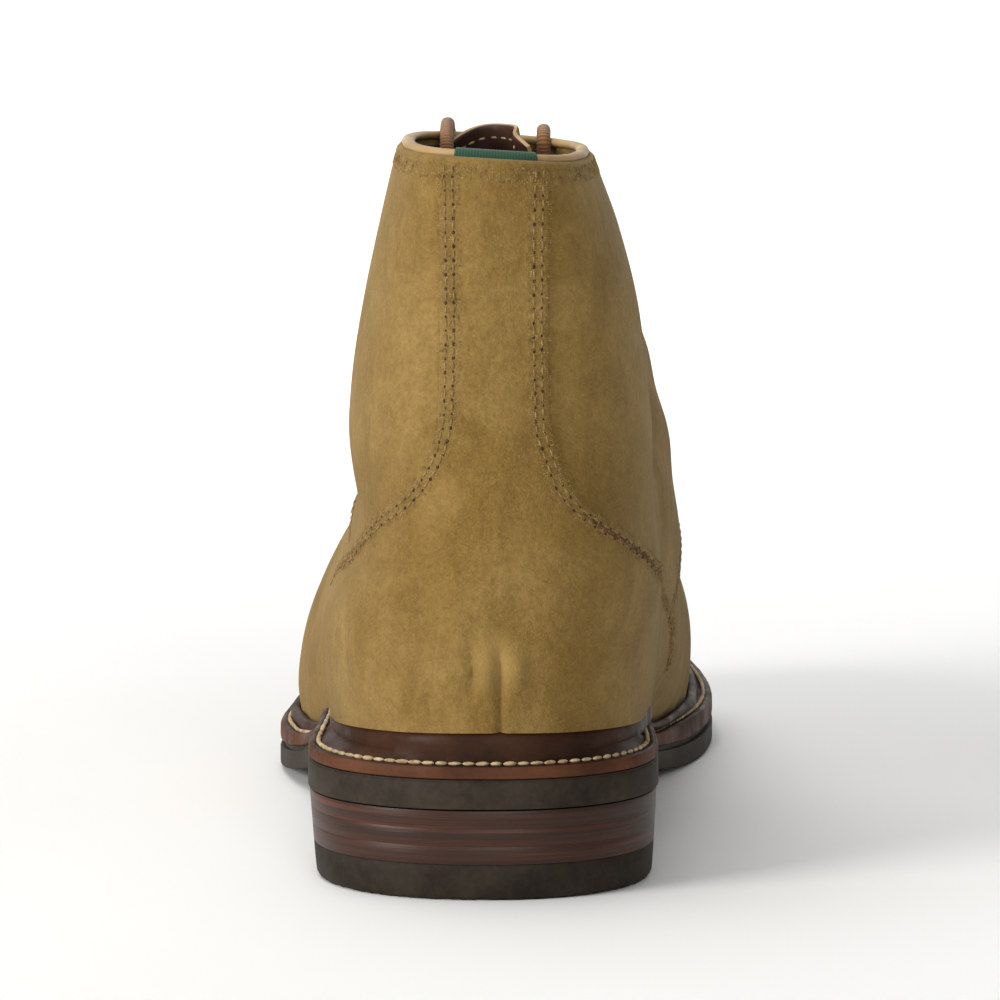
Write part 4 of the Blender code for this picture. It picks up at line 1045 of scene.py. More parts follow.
def build_upper(materials):
    """The hollow wall of vamp and lining: suede outside, smooth lining leather inside."""
    ring = all_round(RING_STATIONS)
    rows = 60
    points = np.array([c.at(np.linspace(0, c.top, rows)) for c in ring])
    ways = normals(points)
    level = unit(ways * (1, 1, 0))
    inner = points - ways * WALL
    inner[:, 0] = points[:, 0] - level[:, 0] * WALL
    for k, column in enumerate(ring):
        if column.collar:
            inner[k, -1] = points[k, -1] - level[k, -1] * WALL
    outer = dress(points, np.zeros(points.shape[:2]))
    solid, faces, front = solid_sheet(outer, inner, wrap=True)
    show(build("upper_shell", solid, faces, materials, face_sides(faces, front, rim=0)),
         "sand_suede", "upper")


def quarter_span(column):
    """Surface lengths of the quarter's lower edge, tucked under the counter, and its upper edge."""
    low = 0.0
    if column.station < COUNTER_FRONT:
        low = counter_top(column) - 4.0
    y = column.pivot[1]
    if QUARTER_LOW[0][0] < y <= QUARTER_TURN:
        low = max(low, column.length_at_z(float(quarter_low(y))))
    elif y > QUARTER_TURN:
        low = column.top - float(quarter_front(y))
    return low, column.top


def build_quarter(side, word, material):
    """One side of the shaft. Returns its throat edge and the free part of its lower edge."""
    first = STRIP_ANGLE[side] - 5
    stations = np.concatenate((along(first, 90, step=2.0)[:-1],
                               along(90, station_at(CORNER - 3), station_at(CORNER),
                                     station_at(THROAT_END - 1.2), station_at(THROAT_END), step=1.8)))
    columns = columns_at(stations, side)
    spans = [quarter_span(c) for c in columns]
    points = grid_of(columns, spans, 60)
    throat = np.array([p[-1] for p, c in zip(points, columns) if not c.collar])
    lower = points[:, 0]
    edge = np.vstack((throat, lower[::-1]))
    away = distance_to(points, edge)
    lift = QUARTER_SEAT + QUARTER_THICK * rounded(away + 0.12, 0.9)
    outer = dress(points, lift)
    inner = dress(points, np.full(points.shape[:2], QUARTER_SEAT - 0.05))
    solid, faces, _ = solid_sheet(outer, inner)
    show(build(f"quarter_{word}_panel", solid, faces, material), "sand_suede", f"quarter_{word}")
    free = [p for p, c in zip(lower, columns) if c.station > COUNTER_FRONT - 12]
    return throat, np.array(free)


def counter_stations():
    """Stations of the counter's columns on either side, closest at the strip's edges."""
    first, last = STRIP_ANGLE[LATERAL], STRIP_ANGLE[MEDIAL]
    near = np.array((2.6, 1.4, 0.6, 0.2))
    return np.concatenate((along(0, first - 3.4, step=1.0), first - near, (first,), last - near,
                           along(last, 27, 90, step=1.5)[:-1],
                           along(90, COUNTER_FRONT, step=1.6)))


def counter_edges():
    """The counter's two long edges, each from the collar down the strip and on to its front."""
    edges = {}
    for side in (LATERAL, MEDIAL):
        low_stations = np.concatenate((along(STRIP_ANGLE[side], 90, step=1.2)[:-1],
                                       along(90, COUNTER_FRONT, step=1.5)))
        columns = columns_at(low_stations, side)
        strip = columns[0]
        upright = strip.at(np.linspace(strip.top, counter_top(strip), 50))
        bottom = np.array([c.at(counter_top(c)) for c in columns[1:]])
        edges[side] = eased(np.vstack((upright, bottom)), spacing=0.8, rounds=6)
    return edges


def build_counter(edges, material):
    """Heel counter with the backstay strip, in one panel over the quarters."""
    columns = both_sides(counter_stations())
    low_rows, strip_rows = 46, 60
    low_part = [between(rand_top(c), counter_top(c), low_rows) for c in columns]
    rows = len(low_part[0])
    points = np.zeros((len(columns), rows + strip_rows, 3))
    used = np.zeros(points.shape[:2], bool)
    for k, (column, lengths) in enumerate(zip(columns, low_part)):
        points[k, :rows] = column.at(lengths)
        used[k, :rows] = True
        if column.station <= STRIP_ANGLE[column.side] + 1e-6:
            points[k, rows:] = column.at(np.linspace(lengths[-1], column.top, strip_rows + 1)[1:])
            used[k, rows:] = True
    faces = quads(rows + strip_rows, len(columns))
    faces = faces[used.reshape(-1)[faces].all(axis=1)]
    border = np.vstack((edges[LATERAL], edges[MEDIAL][::-1]))
    away = distance_to(points, border)
    lift = COUNTER_SEAT + COUNTER_THICK * rounded(away + 0.15, 0.9)
    sunk = ramp(away, 1.0, 4.2) - ramp(away, 4.2, 8.0)
    lift = lift - 0.10 * sunk
    keep = np.unique(faces)
    index = np.full(points.shape[0] * points.shape[1], -1)
    index[keep] = np.arange(len(keep))
    outer = dress(points, lift).reshape(-1, 3)[keep]
    seat = np.where(points[..., 2] < 98, COUNTER_SEAT - 1.4, COUNTER_SEAT)
    inner = dress(points, np.minimum(seat, lift - 0.1)).reshape(-1, 3)[keep]
    solid, solid_faces = shell_of(outer, inner, index[faces])
    show(build("heel_counter_panel", solid, solid_faces, material), "sand_suede", "heel_counter")


def apron_spans():
    """Columns of the apron from the lateral rear corner round the toe, with start and stop."""
    stations = along(station_at(APRON_BACK), station_at(THROAT_END), station_at(APRON_MIDDLE),
                     TOE_FIRST, TOE_FIRST + 90, step=2.2)
    columns = both_sides(stations, toe=True)
    corner = {c.side: c for s in (LATERAL, MEDIAL) for c in columns_at([station_at(THROAT_END)], s)}
    spans = []
    for column in columns:
        y = column.pivot[1]
        end = column.length[-1]
        forward = column.way[1] ** 2
        edge = float(apron_edge(y)) if forward == 0 else (
            APRON_EDGE[-1][1] * (1 - forward) + APRON_REACH * forward)
        stop = end
        if y <= THROAT_END:
            stop = column.top - float(quarter_front(y)) - APRON_CLEAR
        elif y < APRON_MIDDLE:
            at = corner[column.side]
            width = at.length[-1] - at.top + float(quarter_front(THROAT_END)) + APRON_CLEAR
            stop = end - width * (APRON_MIDDLE - y) / (APRON_MIDDLE - THROAT_END)
        spans.append((end - edge, max(stop, end - edge + 0.5)))
    return columns, spans


# Section of the apron's rolled seam: reach from its edge, and thickness as a share of the roll's.
APRON_ROLL = ((0.0, 0.05), (0.2, 0.55), (0.7, 0.85), (1.4, 1.0), (2.2, 0.97), (2.9, 0.82),
              (3.6, 0.66), (4.6, 0.58), (6.0, 0.57))
APRON_PUCKER = 0.10


def build_apron(material, seam_thread):
    """The raised plug over the toes: a rolled seam sewn through, then the flat middle."""
    columns, spans = apron_spans()
    rows = 30
    points, lifts = [], []
    for column, (low, high) in zip(columns, spans):
        fit = min(1.0, (high - low) / 9.0)
        lengths = [low + reach * fit for reach, _ in APRON_ROLL]
        lengths += list(np.linspace(lengths[-1], high, rows)[1:])
        points.append(column.at(np.array(lengths)))
        lifts.append([APRON_RIM * share for _, share in APRON_ROLL] + [APRON_THICK * 0.96] * (rows - 1))
    points, lifts = np.array(points), np.array(lifts)
    seam = points[:, 3]
    run = run_of(seam)
    pucker = 1 - APRON_PUCKER * (0.5 + 0.5 * np.cos(2 * np.pi * run / SEAM_PITCH))
    near = np.array([bell(reach - 1.4, 1.3) for reach, _ in APRON_ROLL] + [0.0] * (rows - 1))
    lifts = lifts * (1 - near[None, :] * (1 - pucker[:, None]))
    outer = dress(points, APRON_SEAT + lifts)
    inner = dress(points, np.full(lifts.shape, 0.05))
    solid, faces, _ = solid_sheet(outer, inner)
    show(build("apron_panel", solid, faces, material), "sand_suede", "apron")
    # The hand-sewn thread: one loop over the rolled seam at every pucker.
    at, ahead = respaced(outer[:, 3], SEAM_PITCH)
    ways = normals(at)
    across = unit(np.cross(ways, ahead))
    sewn = scatter(at - ways * 0.25, across, ways, (1.55, 0.42, 0.5))
    show(build("apron_seam_stitches", *sewn, seam_thread), "tan_cord")


# ---- collar --------------------------------------------------------------------------------------
BEAD_OUT, BEAD_UP = -1.25, 2.1       # middle of the roll's section
BEAD_WIDE, BEAD_HIGH = 1.4, 0.95     # half width and half height of it
COLLAR_DIP = 1.0                     # the edge dips behind the heel
LIP_HIGH = 1.9                       # the suede turns inwards under the roll
LIP_STRIP = 1.05                     # the backstay strip stands this far outside the quarters

# Section of that turned edge: out from the suede's face, and up.
LIP_BEND = ((0.0, -0.8), (0.02, 0.0), (-0.10, 0.55), (-0.38, 1.05), (-0.85, 1.45), (-1.5, 1.68),
            (-2.3, 1.7), (-3.1, 1.5), (-3.1, -0.5))


def dip(places):
    """How far points of the collar edge are moved down."""
    return np.array((0, 0, -COLLAR_DIP)) * (1 - ramp(places[:, 1], 12, 46))[:, None]


def bead_section(extra=0.0, tall=0.0, sides=16):
    """The roll's oval section, all round, from below on the inside."""
    turn = -2 * np.pi * (np.arange(sides) + 0.5) / sides - 0.5 * np.pi
    wide, high = BEAD_WIDE + extra, BEAD_HIGH + extra + tall
    return [(BEAD_OUT + wide * math.cos(t), BEAD_UP - tall + high * math.sin(t)) for t in turn]


def collar_line(columns, rounds=0):
    """Where columns meet the collar edge, evened out, and the level outward ways there."""
    places = softened([c.at(c.top) for c in columns], rounds)
    return places, unit(normals(places) * (1, 1, 0))


def collar_path():
    """The collar edge from the lateral throat corner round the heel: places, ways and columns."""
    stations = np.concatenate((along(0, STRIP_ANGLE[LATERAL], STRIP_ANGLE[MEDIAL], 90, step=1.5)[:-1],
                               along(90, station_at(CORNER - 6), station_at(CORNER), step=1.2)))
    columns = both_sides(stations)
    return *collar_line(columns, rounds=3), columns


def bead_rings(places, ways, section, sink=0.15):
    """A section of the roll carried along the collar edge."""
    section = np.array(section)
    places = places + dip(places)
    return (places[:, None, :] + ways[:, None, :] * section[None, :, :1]
            + np.array((0, 0, 1.0)) * (GAP - sink + section[None, :, 1:]))


def capped_tube(rings):
    """Points and faces of a closed tube through rings of points."""
    count, sides = rings.shape[:2]
    points = np.vstack((rings.reshape(-1, 3), rings[0].mean(axis=0), rings[-1].mean(axis=0)))
    i, k = np.arange(count - 1)[:, None], np.arange(sides)[None, :]
    a, b = i * sides + k, i * sides + (k + 1) % sides
    faces = np.stack((b, a, a + sides, b + sides), axis=-1).reshape(-1, 4).tolist()
    first, last = count * sides, count * sides + 1
    for s in range(sides):
        t = (s + 1) % sides
        faces.append([first, s, t])
        faces.append([last, (count - 1) * sides + t, (count - 1) * sides + s])
    return points, faces


def build_binding(material):
    """The rolled edge of smooth leather over the collar, a little uneven like hand work."""
    places, ways, _ = collar_path()
    run = run_of(places)
    wobble = 0.05 * np.sin(run / 6.1) + 0.04 * np.sin(run / 2.7 + 1)
    section = bead_section()
    rings = bead_rings(places + ways * wobble[:, None], ways, section)
    points, faces = capped_tube(rings)
    show(build("collar_binding_roll", points, faces, material, uv=tube_uv(run, len(section))),
         "tan_binding_leather", "collar_binding")


def build_lip(material):
    """The suede's top edge, rolled inwards under the leather roll."""
    places, ways, columns = collar_path()
    beyond = np.array([c.station - STRIP_ANGLE[c.side] for c in columns])
    low = dip(places)[:, None, 2]
    strip = 1 - ramp(beyond, -1.0, 1.0)
    face = QUARTER_LIFT + LIP_STRIP * strip
    section = np.array(LIP_BEND)
    outs = face[:, None] + section[None, :, 0] * (1 + 0.35 * strip[:, None])
    outs = outs + relief(places)[:, None]
    rings = (places[:, None, :] + ways[:, None, :] * outs[..., None]
             + np.array((0, 0, 1.0)) * (section[None, :, 1:] * (LIP_HIGH + low[..., None]) / 1.7))
    show(build("collar_lip", *capped_tube(rings), material, sharp=70), "sand_suede")


TAPE_SPAN = (-15.0, 20.5)     # angle round the heel centre, medial positive
TAPE = 0.45


def build_tape(material):
    """The plain ribbed tape folded over the binding at the back."""
    angles = np.linspace(*TAPE_SPAN, 45)
    columns = ([columns_at([-a], LATERAL)[0] for a in angles[angles < 0]]
               + columns_at(angles[angles >= 0], MEDIAL))
    places, ways = collar_line(columns)
    outer, inner = (
        bead_rings(places, ways, bead_section(extra, 0.35)[1:-1]) for extra in (TAPE, 0.12))
    section = bead_section()[1:-1]
    run = run_of(places)
    solid, faces, _ = solid_sheet(outer, inner)
    uv = np.column_stack((np.repeat(run, len(section)), np.tile(np.arange(len(section)), len(run))))
    show(build("heel_tape_loop", solid, faces, material, uv=np.vstack((uv, uv))),
         "green_ribbed_tape", "heel_tape")


# ---- tongue --------------------------------------------------------------------------------------
TONGUE = 1.8                    # thickness
TONGUE_DROP = 3.1               # its outer face lies this far under the last's surface
TONGUE_FOLD = 6.4               # its medial half sinks by this much at the collar,
TONGUE_BEND = (-0.1, 0.55)      # growing between these shares of its half width,
TONGUE_BACK = 0.2               # less by this share at its medial edge,
TONGUE_FADE = 80.0              # and gone this far down from the collar
TONGUE_TURN = (0.25, 0.8)       # it sinks straight back up to one share, square from the other
tongue_half = curve(((-10, 26.0), (0, 26.0), (25, 25.0), (60, 22.5), (110, 21.0)))
tongue_top = curve(((-1.0, -6.5), (0.0, -7.5), (0.25, -8.6), (0.5, -9.9), (0.75, -10.0), (1.0, -9.4)))


def tongue_points(down, share, depth):
    """Points of the tongue at a length down from the collar, a share of its half width and a depth
    under its outer face."""
    down, share = np.broadcast_arrays(np.asarray(down, float), np.asarray(share, float))
    across = share * tongue_half(down)
    side_ways = unit(BROW.at(down, across - 3.5)[1] + BROW.at(down, across + 3.5)[1])
    places = BROW.at(down, across)[0] - side_ways * np.asarray(TONGUE_DROP + depth)[..., None]
    ridge_ways = unit(BROW.at(down, 0 * share)[1] * (0, 1, 1))
    turn = ramp(share, *TONGUE_TURN)[..., None]
    ways = unit(ridge_ways * (1 - turn) + side_ways * turn)
    back = TONGUE_BACK * ramp(share, TONGUE_BEND[1], 1)
    fold = TONGUE_FOLD * ramp(share, *TONGUE_BEND) * (1 - back) * np.clip(1 - down / TONGUE_FADE, 0, 1)
    return places - ways * fold[..., None]


def build_tongue(materials, pale_thread):
    """A padded plate: suede outside, lining inside, a cut tan edge between, sewn near its edge."""
    shares = np.linspace(-1, 1, 61)
    rows = 76
    fine = np.array((0, 0.15, 0.5, 1.1))
    bottom = BROW.end + 13.0
    down = np.array([np.concatenate((tongue_top(s) + fine,
                                     np.linspace(tongue_top(s) + 2, bottom, rows)))
                     for s in shares])
    share = np.repeat(shares[:, None], down.shape[1], axis=1)
    side = (1 - np.abs(share)) * 15.0
    away = np.minimum(down - tongue_top(share), side)
    thin = 0.45 * (1 - rounded(away, 0.8))
    outer = softened(tongue_points(down, share, thin), rounds=30)
    inner = softened(tongue_points(down, share, TONGUE - thin), rounds=30)
    solid, faces, front = solid_sheet(outer, inner)
    show(build("tongue_plate", solid, faces, materials, face_sides(faces, front, rim=2)),
         "brown_lining_leather", "tongue")
    marks = np.linspace(-0.86, 0.86, 80)
    path = softened(tongue_points(tongue_top(marks) + 2.6, marks, TONGUE + 0.05), rounds=50)
    at, ahead = respaced(path, 2.9)
    sewn = scatter(at, ahead, -normals(at), (1.05, 0.30, 0.26))
    show(build("tongue_stitches", *sewn, pale_thread), "tan_cord")


# ---- lacing --------------------------------------------------------------------------------------
EYELET_THICK = 0.7
EYELET_SEAT = 2.75
LACE = 1.65
LACE_LIFT = EYELET_SEAT + EYELET_THICK + 2 * GAP + LACE
BRAID_PITCH = 3.4       # length of one turn of the plait
TIP_LENGTH = 5.0

# Route of a lace end in a fore and aft plane: out of the last's surface, over the collar edge.
LACE_OVER = {LATERAL: ((4.3, 0.9), (3.1, 3.6), (0.2, 4.8)),
             MEDIAL: ((4.3, 0.9), (3.1, 3.2), (0.2, 4.5))}
LACE_DOWN = {
    LATERAL: ((-3.2, 4.5), (-6.6, 3.4), (-9.0, 0.4), (-9.9, -7.0), (-10.4, -16.0)),
    MEDIAL: ((-3.5, 4.3), (-5.4, 2.0), (-4.6, -3.0), (-3.95, -8.5)),
}
LACE_RIM = {LATERAL: -9.2, MEDIAL: 12.7}        # x where each end crosses the collar

# Section of an eyelet's rolled ring: out from its middle, and up from the suede.
EYELET_SECTION = ((2.3, -1.3), (2.25, 0.1), (2.45, 0.55), (2.85, 0.78), (3.3, 0.74),
                  (3.7, 0.48), (3.92, 0.08), (3.9, -0.5))

# Half of a lace bar: across from the ridge, and up from the last.
LACE_BAR = ((14.6, 0.6), (14.2, 2.2), (12.9, 4.1), (10.5, 5.0), (7.0, 5.25))


def eyelet_downs():
    """Lengths down the ridge at which the eyelets sit, the top one first."""
    return np.linspace(9.0, BROW.end - 9.0, EYELETS)


def smooth_route(points, spacing):
    """Evenly spaced points on a smooth curve through the route's own points."""
    points = np.asarray(points, float)
    padded = np.vstack((2 * points[0] - points[1], points, 2 * points[-1] - points[-2]))
    fine = []
    for i in range(1, len(padded) - 2):
        a, b, c, d = padded[i - 1:i + 3]
        for t in np.linspace(0, 1, 24, endpoint=False):
            fine.append(0.5 * (2 * b + (c - a) * t + (2 * a - 5 * b + 4 * c - d) * t ** 2
                               + (3 * b - a - 3 * c + d) * t ** 3))
    fine.append(padded[-2])
    fine = np.array(fine)
    length = run_of(fine)
    marks = np.linspace(0, length[-1], max(3, int(round(length[-1] / spacing)) + 1))
    return points_at(marks, length, fine)


def collar_at(x, side):
    """Point of the collar's front part at x, with its level outward way."""
    stations = along(90, station_at(CORNER - 3), station_at(CORNER), step=3.0)
    places, ways = collar_line(columns_at(stations, side))
    order = np.argsort(places[:, 0])
    spot, way = (points_at(x, places[order, 0], table[order]) for table in (places, ways))
    return spot, unit(way)


def lace_end_route(side):
    """From the top eyelet, over the binding and down inside the boot."""
    down = eyelet_downs()[0]
    start = [BROW.at(down - back, side * (EYELET_OFF - 0.3 * back), LACE_LIFT + 0.2 * back)[0]
             for back in (0.0, 4.0)]
    foot, way = collar_at(LACE_RIM[side], side)
    ahead, rise = np.array((0, 1.0, 0)) / way[1], np.array((0, 0, 1.0))
    return smooth_route(start + [foot + ahead * out + rise * up
                                 for out, up in LACE_OVER[side] + LACE_DOWN[side]], 1.0)


def frames_along(route):
    """Directions square to a route that turn as little as they can."""
    ahead = unit(np.gradient(route, axis=0))
    side = np.cross(ahead[0], (0.3, 0.2, 0.9))
    sides = []
    for way in ahead:
        side = side - way * np.dot(side, way)
        side = side / np.linalg.norm(side)
        sides.append(side)
    sides = np.array(sides)
    return ahead, sides, np.cross(ahead, sides)


def braided(route, radius=LACE, sides=20, phase=0.0):
    """Points, faces and uv of a round cord with a faint plait."""
    fine = smooth_route(route, 0.45)
    _, side, up = frames_along(fine)
    run = run_of(fine)
    angle = 2 * np.pi * np.arange(sides)[None] / sides
    turn = (2 * np.pi * run / BRAID_PITCH + phase)[:, None]
    plait = 0.5 * (np.cos(2 * angle - turn) * np.cos(2 * angle + turn))
    swell = radius * (0.965 + 0.07 * plait)
    swell[0] = swell[-1] = 0.8 * radius
    rings = fine[:, None, :] + swell[..., None] * spokes(side, up, sides)
    return *capped_tube(rings), tube_uv(run, sides)


def build_lace_ends(cord, tip_material):
    """The two free ends, as cords. Each is bound at its tip."""
    for side, word in ((LATERAL, "lateral"), (MEDIAL, "medial")):
        route = lace_end_route(side)
        points, faces, uv = braided(route)
        piece = build(f"lace_end_{word}_cord", points, faces, cord, uv=uv)
        show(piece, "tan_cord", f"lace_end_{word}")
        tip = route[-int(TIP_LENGTH):]
        _, sideways, up = frames_along(tip)
        rings = tip[:, None, :] + 1.02 * LACE * spokes(sideways, up, 12)
        binding = build(f"lace_end_{word}_tip", *capped_tube(rings), tip_material)
        show(binding, "tan_cord")


def build_lacing(cord, metal, shade):
    """Straight bars between the eyelets, each end turning down through its ring."""
    count = 28
    section = np.array(EYELET_SECTION)
    half = [(-x, lift) for x, lift in LACE_BAR]
    spans = half + [(0.0, half[-1][1])] + [(-x, lift) for x, lift in half[::-1]]
    for k, down in enumerate(eyelet_downs(), 1):
        for side, word in ((LATERAL, "lateral"), (MEDIAL, "medial")):
            spot, way = BROW.at(down, side * EYELET_OFF, 0.0)
            spot = spot + way * (QUARTER_LIFT + relief(spot))
            over = unit(np.cross(way, (1.0, 0.0, 0.0)))
            out = spokes(over, np.cross(over, way), count)
            rings = (spot + out[:, None, :] * section[None, :, :1] + way * section[None, :, 1:])
            faces = quads(len(section), count, wrap=True)
            show(build(f"eyelet_{word}_{k}_ring", rings.reshape(-1, 3), faces, metal), "aged_brass",
                 f"eyelet_{word}_{k}")
            # A dark disc of painted shade fills the ring's opening.
            disc = np.vstack((spot + way * 0.06, spot + out * 2.32 + way * 0.06))
            turn = [[0, i + 1, (i + 1) % count + 1] for i in range(count)]
            show(build(f"eyelet_{word}_{k}_hole", disc, turn, shade), "brown_lining_leather")
        if k == 1:
            continue
        route = [BROW.at(down, x, lift)[0] for x, lift in spans]
        points, faces, uv = braided(route, phase=1.3 * k)
        show(build(f"lace_bar_{k}_cord", points, faces, cord, uv=uv), "tan_cord", f"lace_bar_{k}")


# ---- bottom --------------------------------------------------------------------------------------
WELT_INNER = 9.0        # width of the welt inside the upper's foot
INSOLE = 3.4


def outline_gauge(x, y):
    """Below 1 inside the outsole's plan outline."""
    half = np.where(x > 0, outline_medial(y), outline_lateral(y))
    heel = np.clip((HEEL_CENTRE - y) / HEEL_CENTRE, 0, None)
    toe = np.clip((y - BALL_Y) / (LENGTH - BALL_Y), 0, None)
    power = np.where(y < 120, HEEL_ROUND, TOE_ROUND)
    return (np.abs(x) / half) ** power + heel ** HEEL_ROUND + toe ** TOE_ROUND


class Ring:
    """Upright planes all round the bottom: where each meets the outsole's edge and the upper."""

    def __init__(self):
        stations = np.concatenate((along(0, 90, step=1.8)[:-1],
                                   along(90, station_at(BREAST_Y), TOE_FIRST, step=2.2)[:-1],
                                   along(TOE_FIRST, TOE_FIRST + 90, step=1.8)))
        columns = all_round(stations)
        self.pivots = np.array([c.pivot for c in columns])
        self.ways = np.array([c.way for c in columns])
        self.count = len(columns)
        self.edge, _ = halved(self.within, np.full(self.count, 5.0), np.full(self.count, 80.0), 32)
        self.foot = self.reach([c.points[0] for c in columns])
        self.rand = np.array([float(rand_height(c.station)) for c in columns])
        self.front = ramp(self.pivots[:, 1], BREAST_Y, BALL_Y)
        over = [c.at(c.length_at_z(c.points[0, 2] + high)) for c, high in zip(columns, self.rand)]
        self.crest = np.maximum(self.reach(over), self.foot)

    def within(self, reach):
        """Whether points at these reaches lie inside the outsole's outline."""
        spot = self.pivots + self.ways * reach[:, None]
        return outline_gauge(spot[:, 0], spot[:, 1]) < 1

    def reach(self, points):
        """Level distance of points from the pivots, along the planes."""
        return np.sum((np.array(points)[:, :2] - self.pivots) * self.ways, axis=1)

    def line(self, reach, z_of, raised):
        """A closed line at a reach in each plane, raised over a height that depends on y."""
        spot = self.pivots + self.ways * np.broadcast_to(reach, (self.count,))[:, None]
        return np.column_stack((spot, z_of(spot[:, 1]) + raised))

    def lines(self, *rows):
        """Closed lines round the bottom, from rows of reach, height function and raise."""
        return np.array([self.line(*row) for row in rows])


def loops(name, rings, material, caps=False):
    """A ring-shaped piece from closed lines; with caps, a solid one closed below and above."""
    levels, count = rings.shape[:2]
    faces = [level_faces(levels, count, closed=not caps)]
    if caps:
        half = count // 2
        m = np.arange(half)
        for base, turn in ((0, 1), ((levels - 1) * count, -1)):
            other = (count - m) % count
            ahead = (count - m - 1) % count
            faces.append((base + np.stack((m, other, ahead, m + 1), axis=-1))[:, ::turn])
    points, faces = rings.reshape(-1, 3), np.vstack(faces)
    if signed_volume(points, faces) < 0:
        faces = faces[:, ::-1]
    return build(name, points, faces.tolist(), material)


WELT_STITCH_IN = 2.15     # the stitch row lies this far inside the welt's edge
WELT_PITCH = 2.9
WELT_STITCH, WELT_SPREAD = (1.36, 0.50, 0.50), (0.16, 0.09, 0.08)   # half sizes, and how they vary
WELT_SLANT = 0.16


def build_welt(ring, material, lit_edge_material, pale_thread):
    """Storm welt: an edge, a channel for the heavy stitches and a rib against the upper; rib and top in
    a darker copy of the leather as painted shade, the edge band in a lighter copy as painted light.
    """
    edge, foot, crest = ring.edge - WELT_EDGE, ring.foot, ring.crest
    wave = 0.10 * np.sin(np.arange(ring.count) * 0.9) + 0.06 * np.sin(np.arange(ring.count) * 2.3)
    seam, tall, wall = edge - WELT_STITCH_IN, ring.rand, crest + GAP + RAND_WALL
    rib = foot + GAP + RAND_WALL + 1.0
    lines = ring.lines(
        (foot - WELT_INNER, rubber_top, 0.15),
        (edge - 0.5, rubber_top, 0.15),
        (edge - 0.1, rubber_top, 0.45),
        (edge + 0.05 + 0.3 * wave, rubber_top, 1.2),
        (edge + 0.3 * wave, welt_top, -0.9),
        (edge - 0.25 + 0.3 * wave, welt_top, -0.35),
        (edge - 0.75, welt_top, -0.02),
        (seam + 0.75, welt_top, 0.0),
        (seam + 0.35, welt_top, -0.3),
        (seam - 0.35, welt_top, -0.3),
        (np.maximum(rib - 0.1, seam - 1.2), welt_top, 0.1),
        (0.55 * rib + 0.45 * wall, welt_top, 0.3 * tall),
        (wall + 0.12, welt_top, 0.58 * tall),
        (wall + 0.02, welt_top, 0.8 * tall),
        (wall - 0.5, welt_top, 0.93 * tall),
        (crest + GAP + 0.9, welt_top, tall),
        (crest + GAP + 0.1, welt_top, tall - 0.2),
        (0.5 * (crest + foot) + GAP, welt_top, 0.5 * tall),
        (foot + GAP, welt_top, 0.2),
        (foot - WELT_INNER, welt_top, 0.0),
    )
    show(loops("storm_welt", lines, material), "dark_brown_welt_leather", "welt")
    # The edge band: a lighter copy of the welt leather, painted light on the outward edge.
    band = ring.lines(
        (edge - 0.6, rubber_top, 0.12),
        (edge + 0.08, rubber_top, 0.5),
        (edge + 0.16 + 0.3 * wave, rubber_top, 1.4),
        (edge + 0.1 + 0.3 * wave, welt_top, -0.8),
        (edge - 0.2 + 0.3 * wave, welt_top, -0.25),
        (edge - 0.9, welt_top, -0.1),
        (edge - 1.4, welt_top, -1.2),
    )
    show(loops("welt_edge_lit_band", band, lit_edge_material), "dark_brown_welt_leather")
    path = ring.line(seam, welt_top, 0.25)
    path = np.vstack((path, path[:1]))
    at, ahead = respaced(path, WELT_PITCH)
    random = np.random.default_rng(7)
    jitter = random.uniform(-1, 1, (len(at), 3))
    up = np.tile((0.0, 0.0, 1.0), (len(at), 1))
    ahead = ahead + np.cross(up, ahead) * (0.10 * jitter[:, :1] + WELT_SLANT)
    sizes = np.array(WELT_STITCH) + np.array(WELT_SPREAD) * jitter[:, (1, 2, 0)]
    sewn = scatter(at, ahead, up, sizes, pill(rings=5, sides=10))
    show(build("welt_stitches", *sewn, pale_thread, sharp=80), "tan_cord")


GROOVE, GROOVE_HEEL = 1.3, 0.3      # depth of the groove under the welt, and at the heel
RIB_PITCH, RIB_IN = 4.6, 5.4        # the ribs' spacing, and how far they stop short of the edge
RIB = ((-0.2, 0.9), (0.0, 0.1), (0.25, 0.0), (2.5, 0.0), (2.75, 0.1), (2.95, 0.9))


def build_outsole(ring, material):
    """Rubber outsole with a groove under the welt and cross ribs let into its underside."""
    edge, groove = ring.edge, GROOVE_HEEL + (GROOVE - GROOVE_HEEL) * ring.front
    lines = ring.lines(
        (edge - 4.6, sole_bottom, 0.8),
        (edge - 4.2, sole_bottom, 0.05),
        (edge - 1.0, sole_bottom, 0.0),
        (edge - 0.12 - 0.33 * ring.front, sole_bottom, 0.02 + 0.18 * ring.front),
        (edge - 0.08, sole_bottom, 0.08 + 0.62 * ring.front),
        (edge, sole_bottom, 0.25 + 1.05 * ring.front),
        (edge, rubber_top, -groove - 0.45),
        (edge - 0.12, rubber_top, -groove - 0.12),
        (edge - 0.5 * groove, rubber_top, -groove),
        (edge - groove, rubber_top, -groove + 0.05),
        (edge - groove - 0.05, rubber_top, 0.1),
    )
    show(loops("rubber_outsole", lines, material, caps=True), "grey_brown_rubber", "outsole")
    parts = []
    for y in np.arange(BREAST_Y + 8.0, LENGTH - 9.0, RIB_PITCH):
        toe = np.clip((y + 1.5 - BALL_Y) / (LENGTH - BALL_Y), 0, None) ** TOE_ROUND
        share = (1 - toe) ** (1 / TOE_ROUND)
        low, high = -outline_lateral(y) * share + RIB_IN, outline_medial(y) * share - RIB_IN
        if high - low < 12:
            continue
        x = np.linspace(low, high, 25)
        bent = y + 1.4 * np.abs(((x - low) / 9.0) % 2 - 1)
        rows = [np.column_stack((x, bent + dy, sole_bottom(bent + dy) + up)) for dy, up in RIB]
        parts.append((np.vstack(rows), quads(len(x), len(rows))))
    show(build("outsole_tread", *merged(parts), material), "grey_brown_rubber")


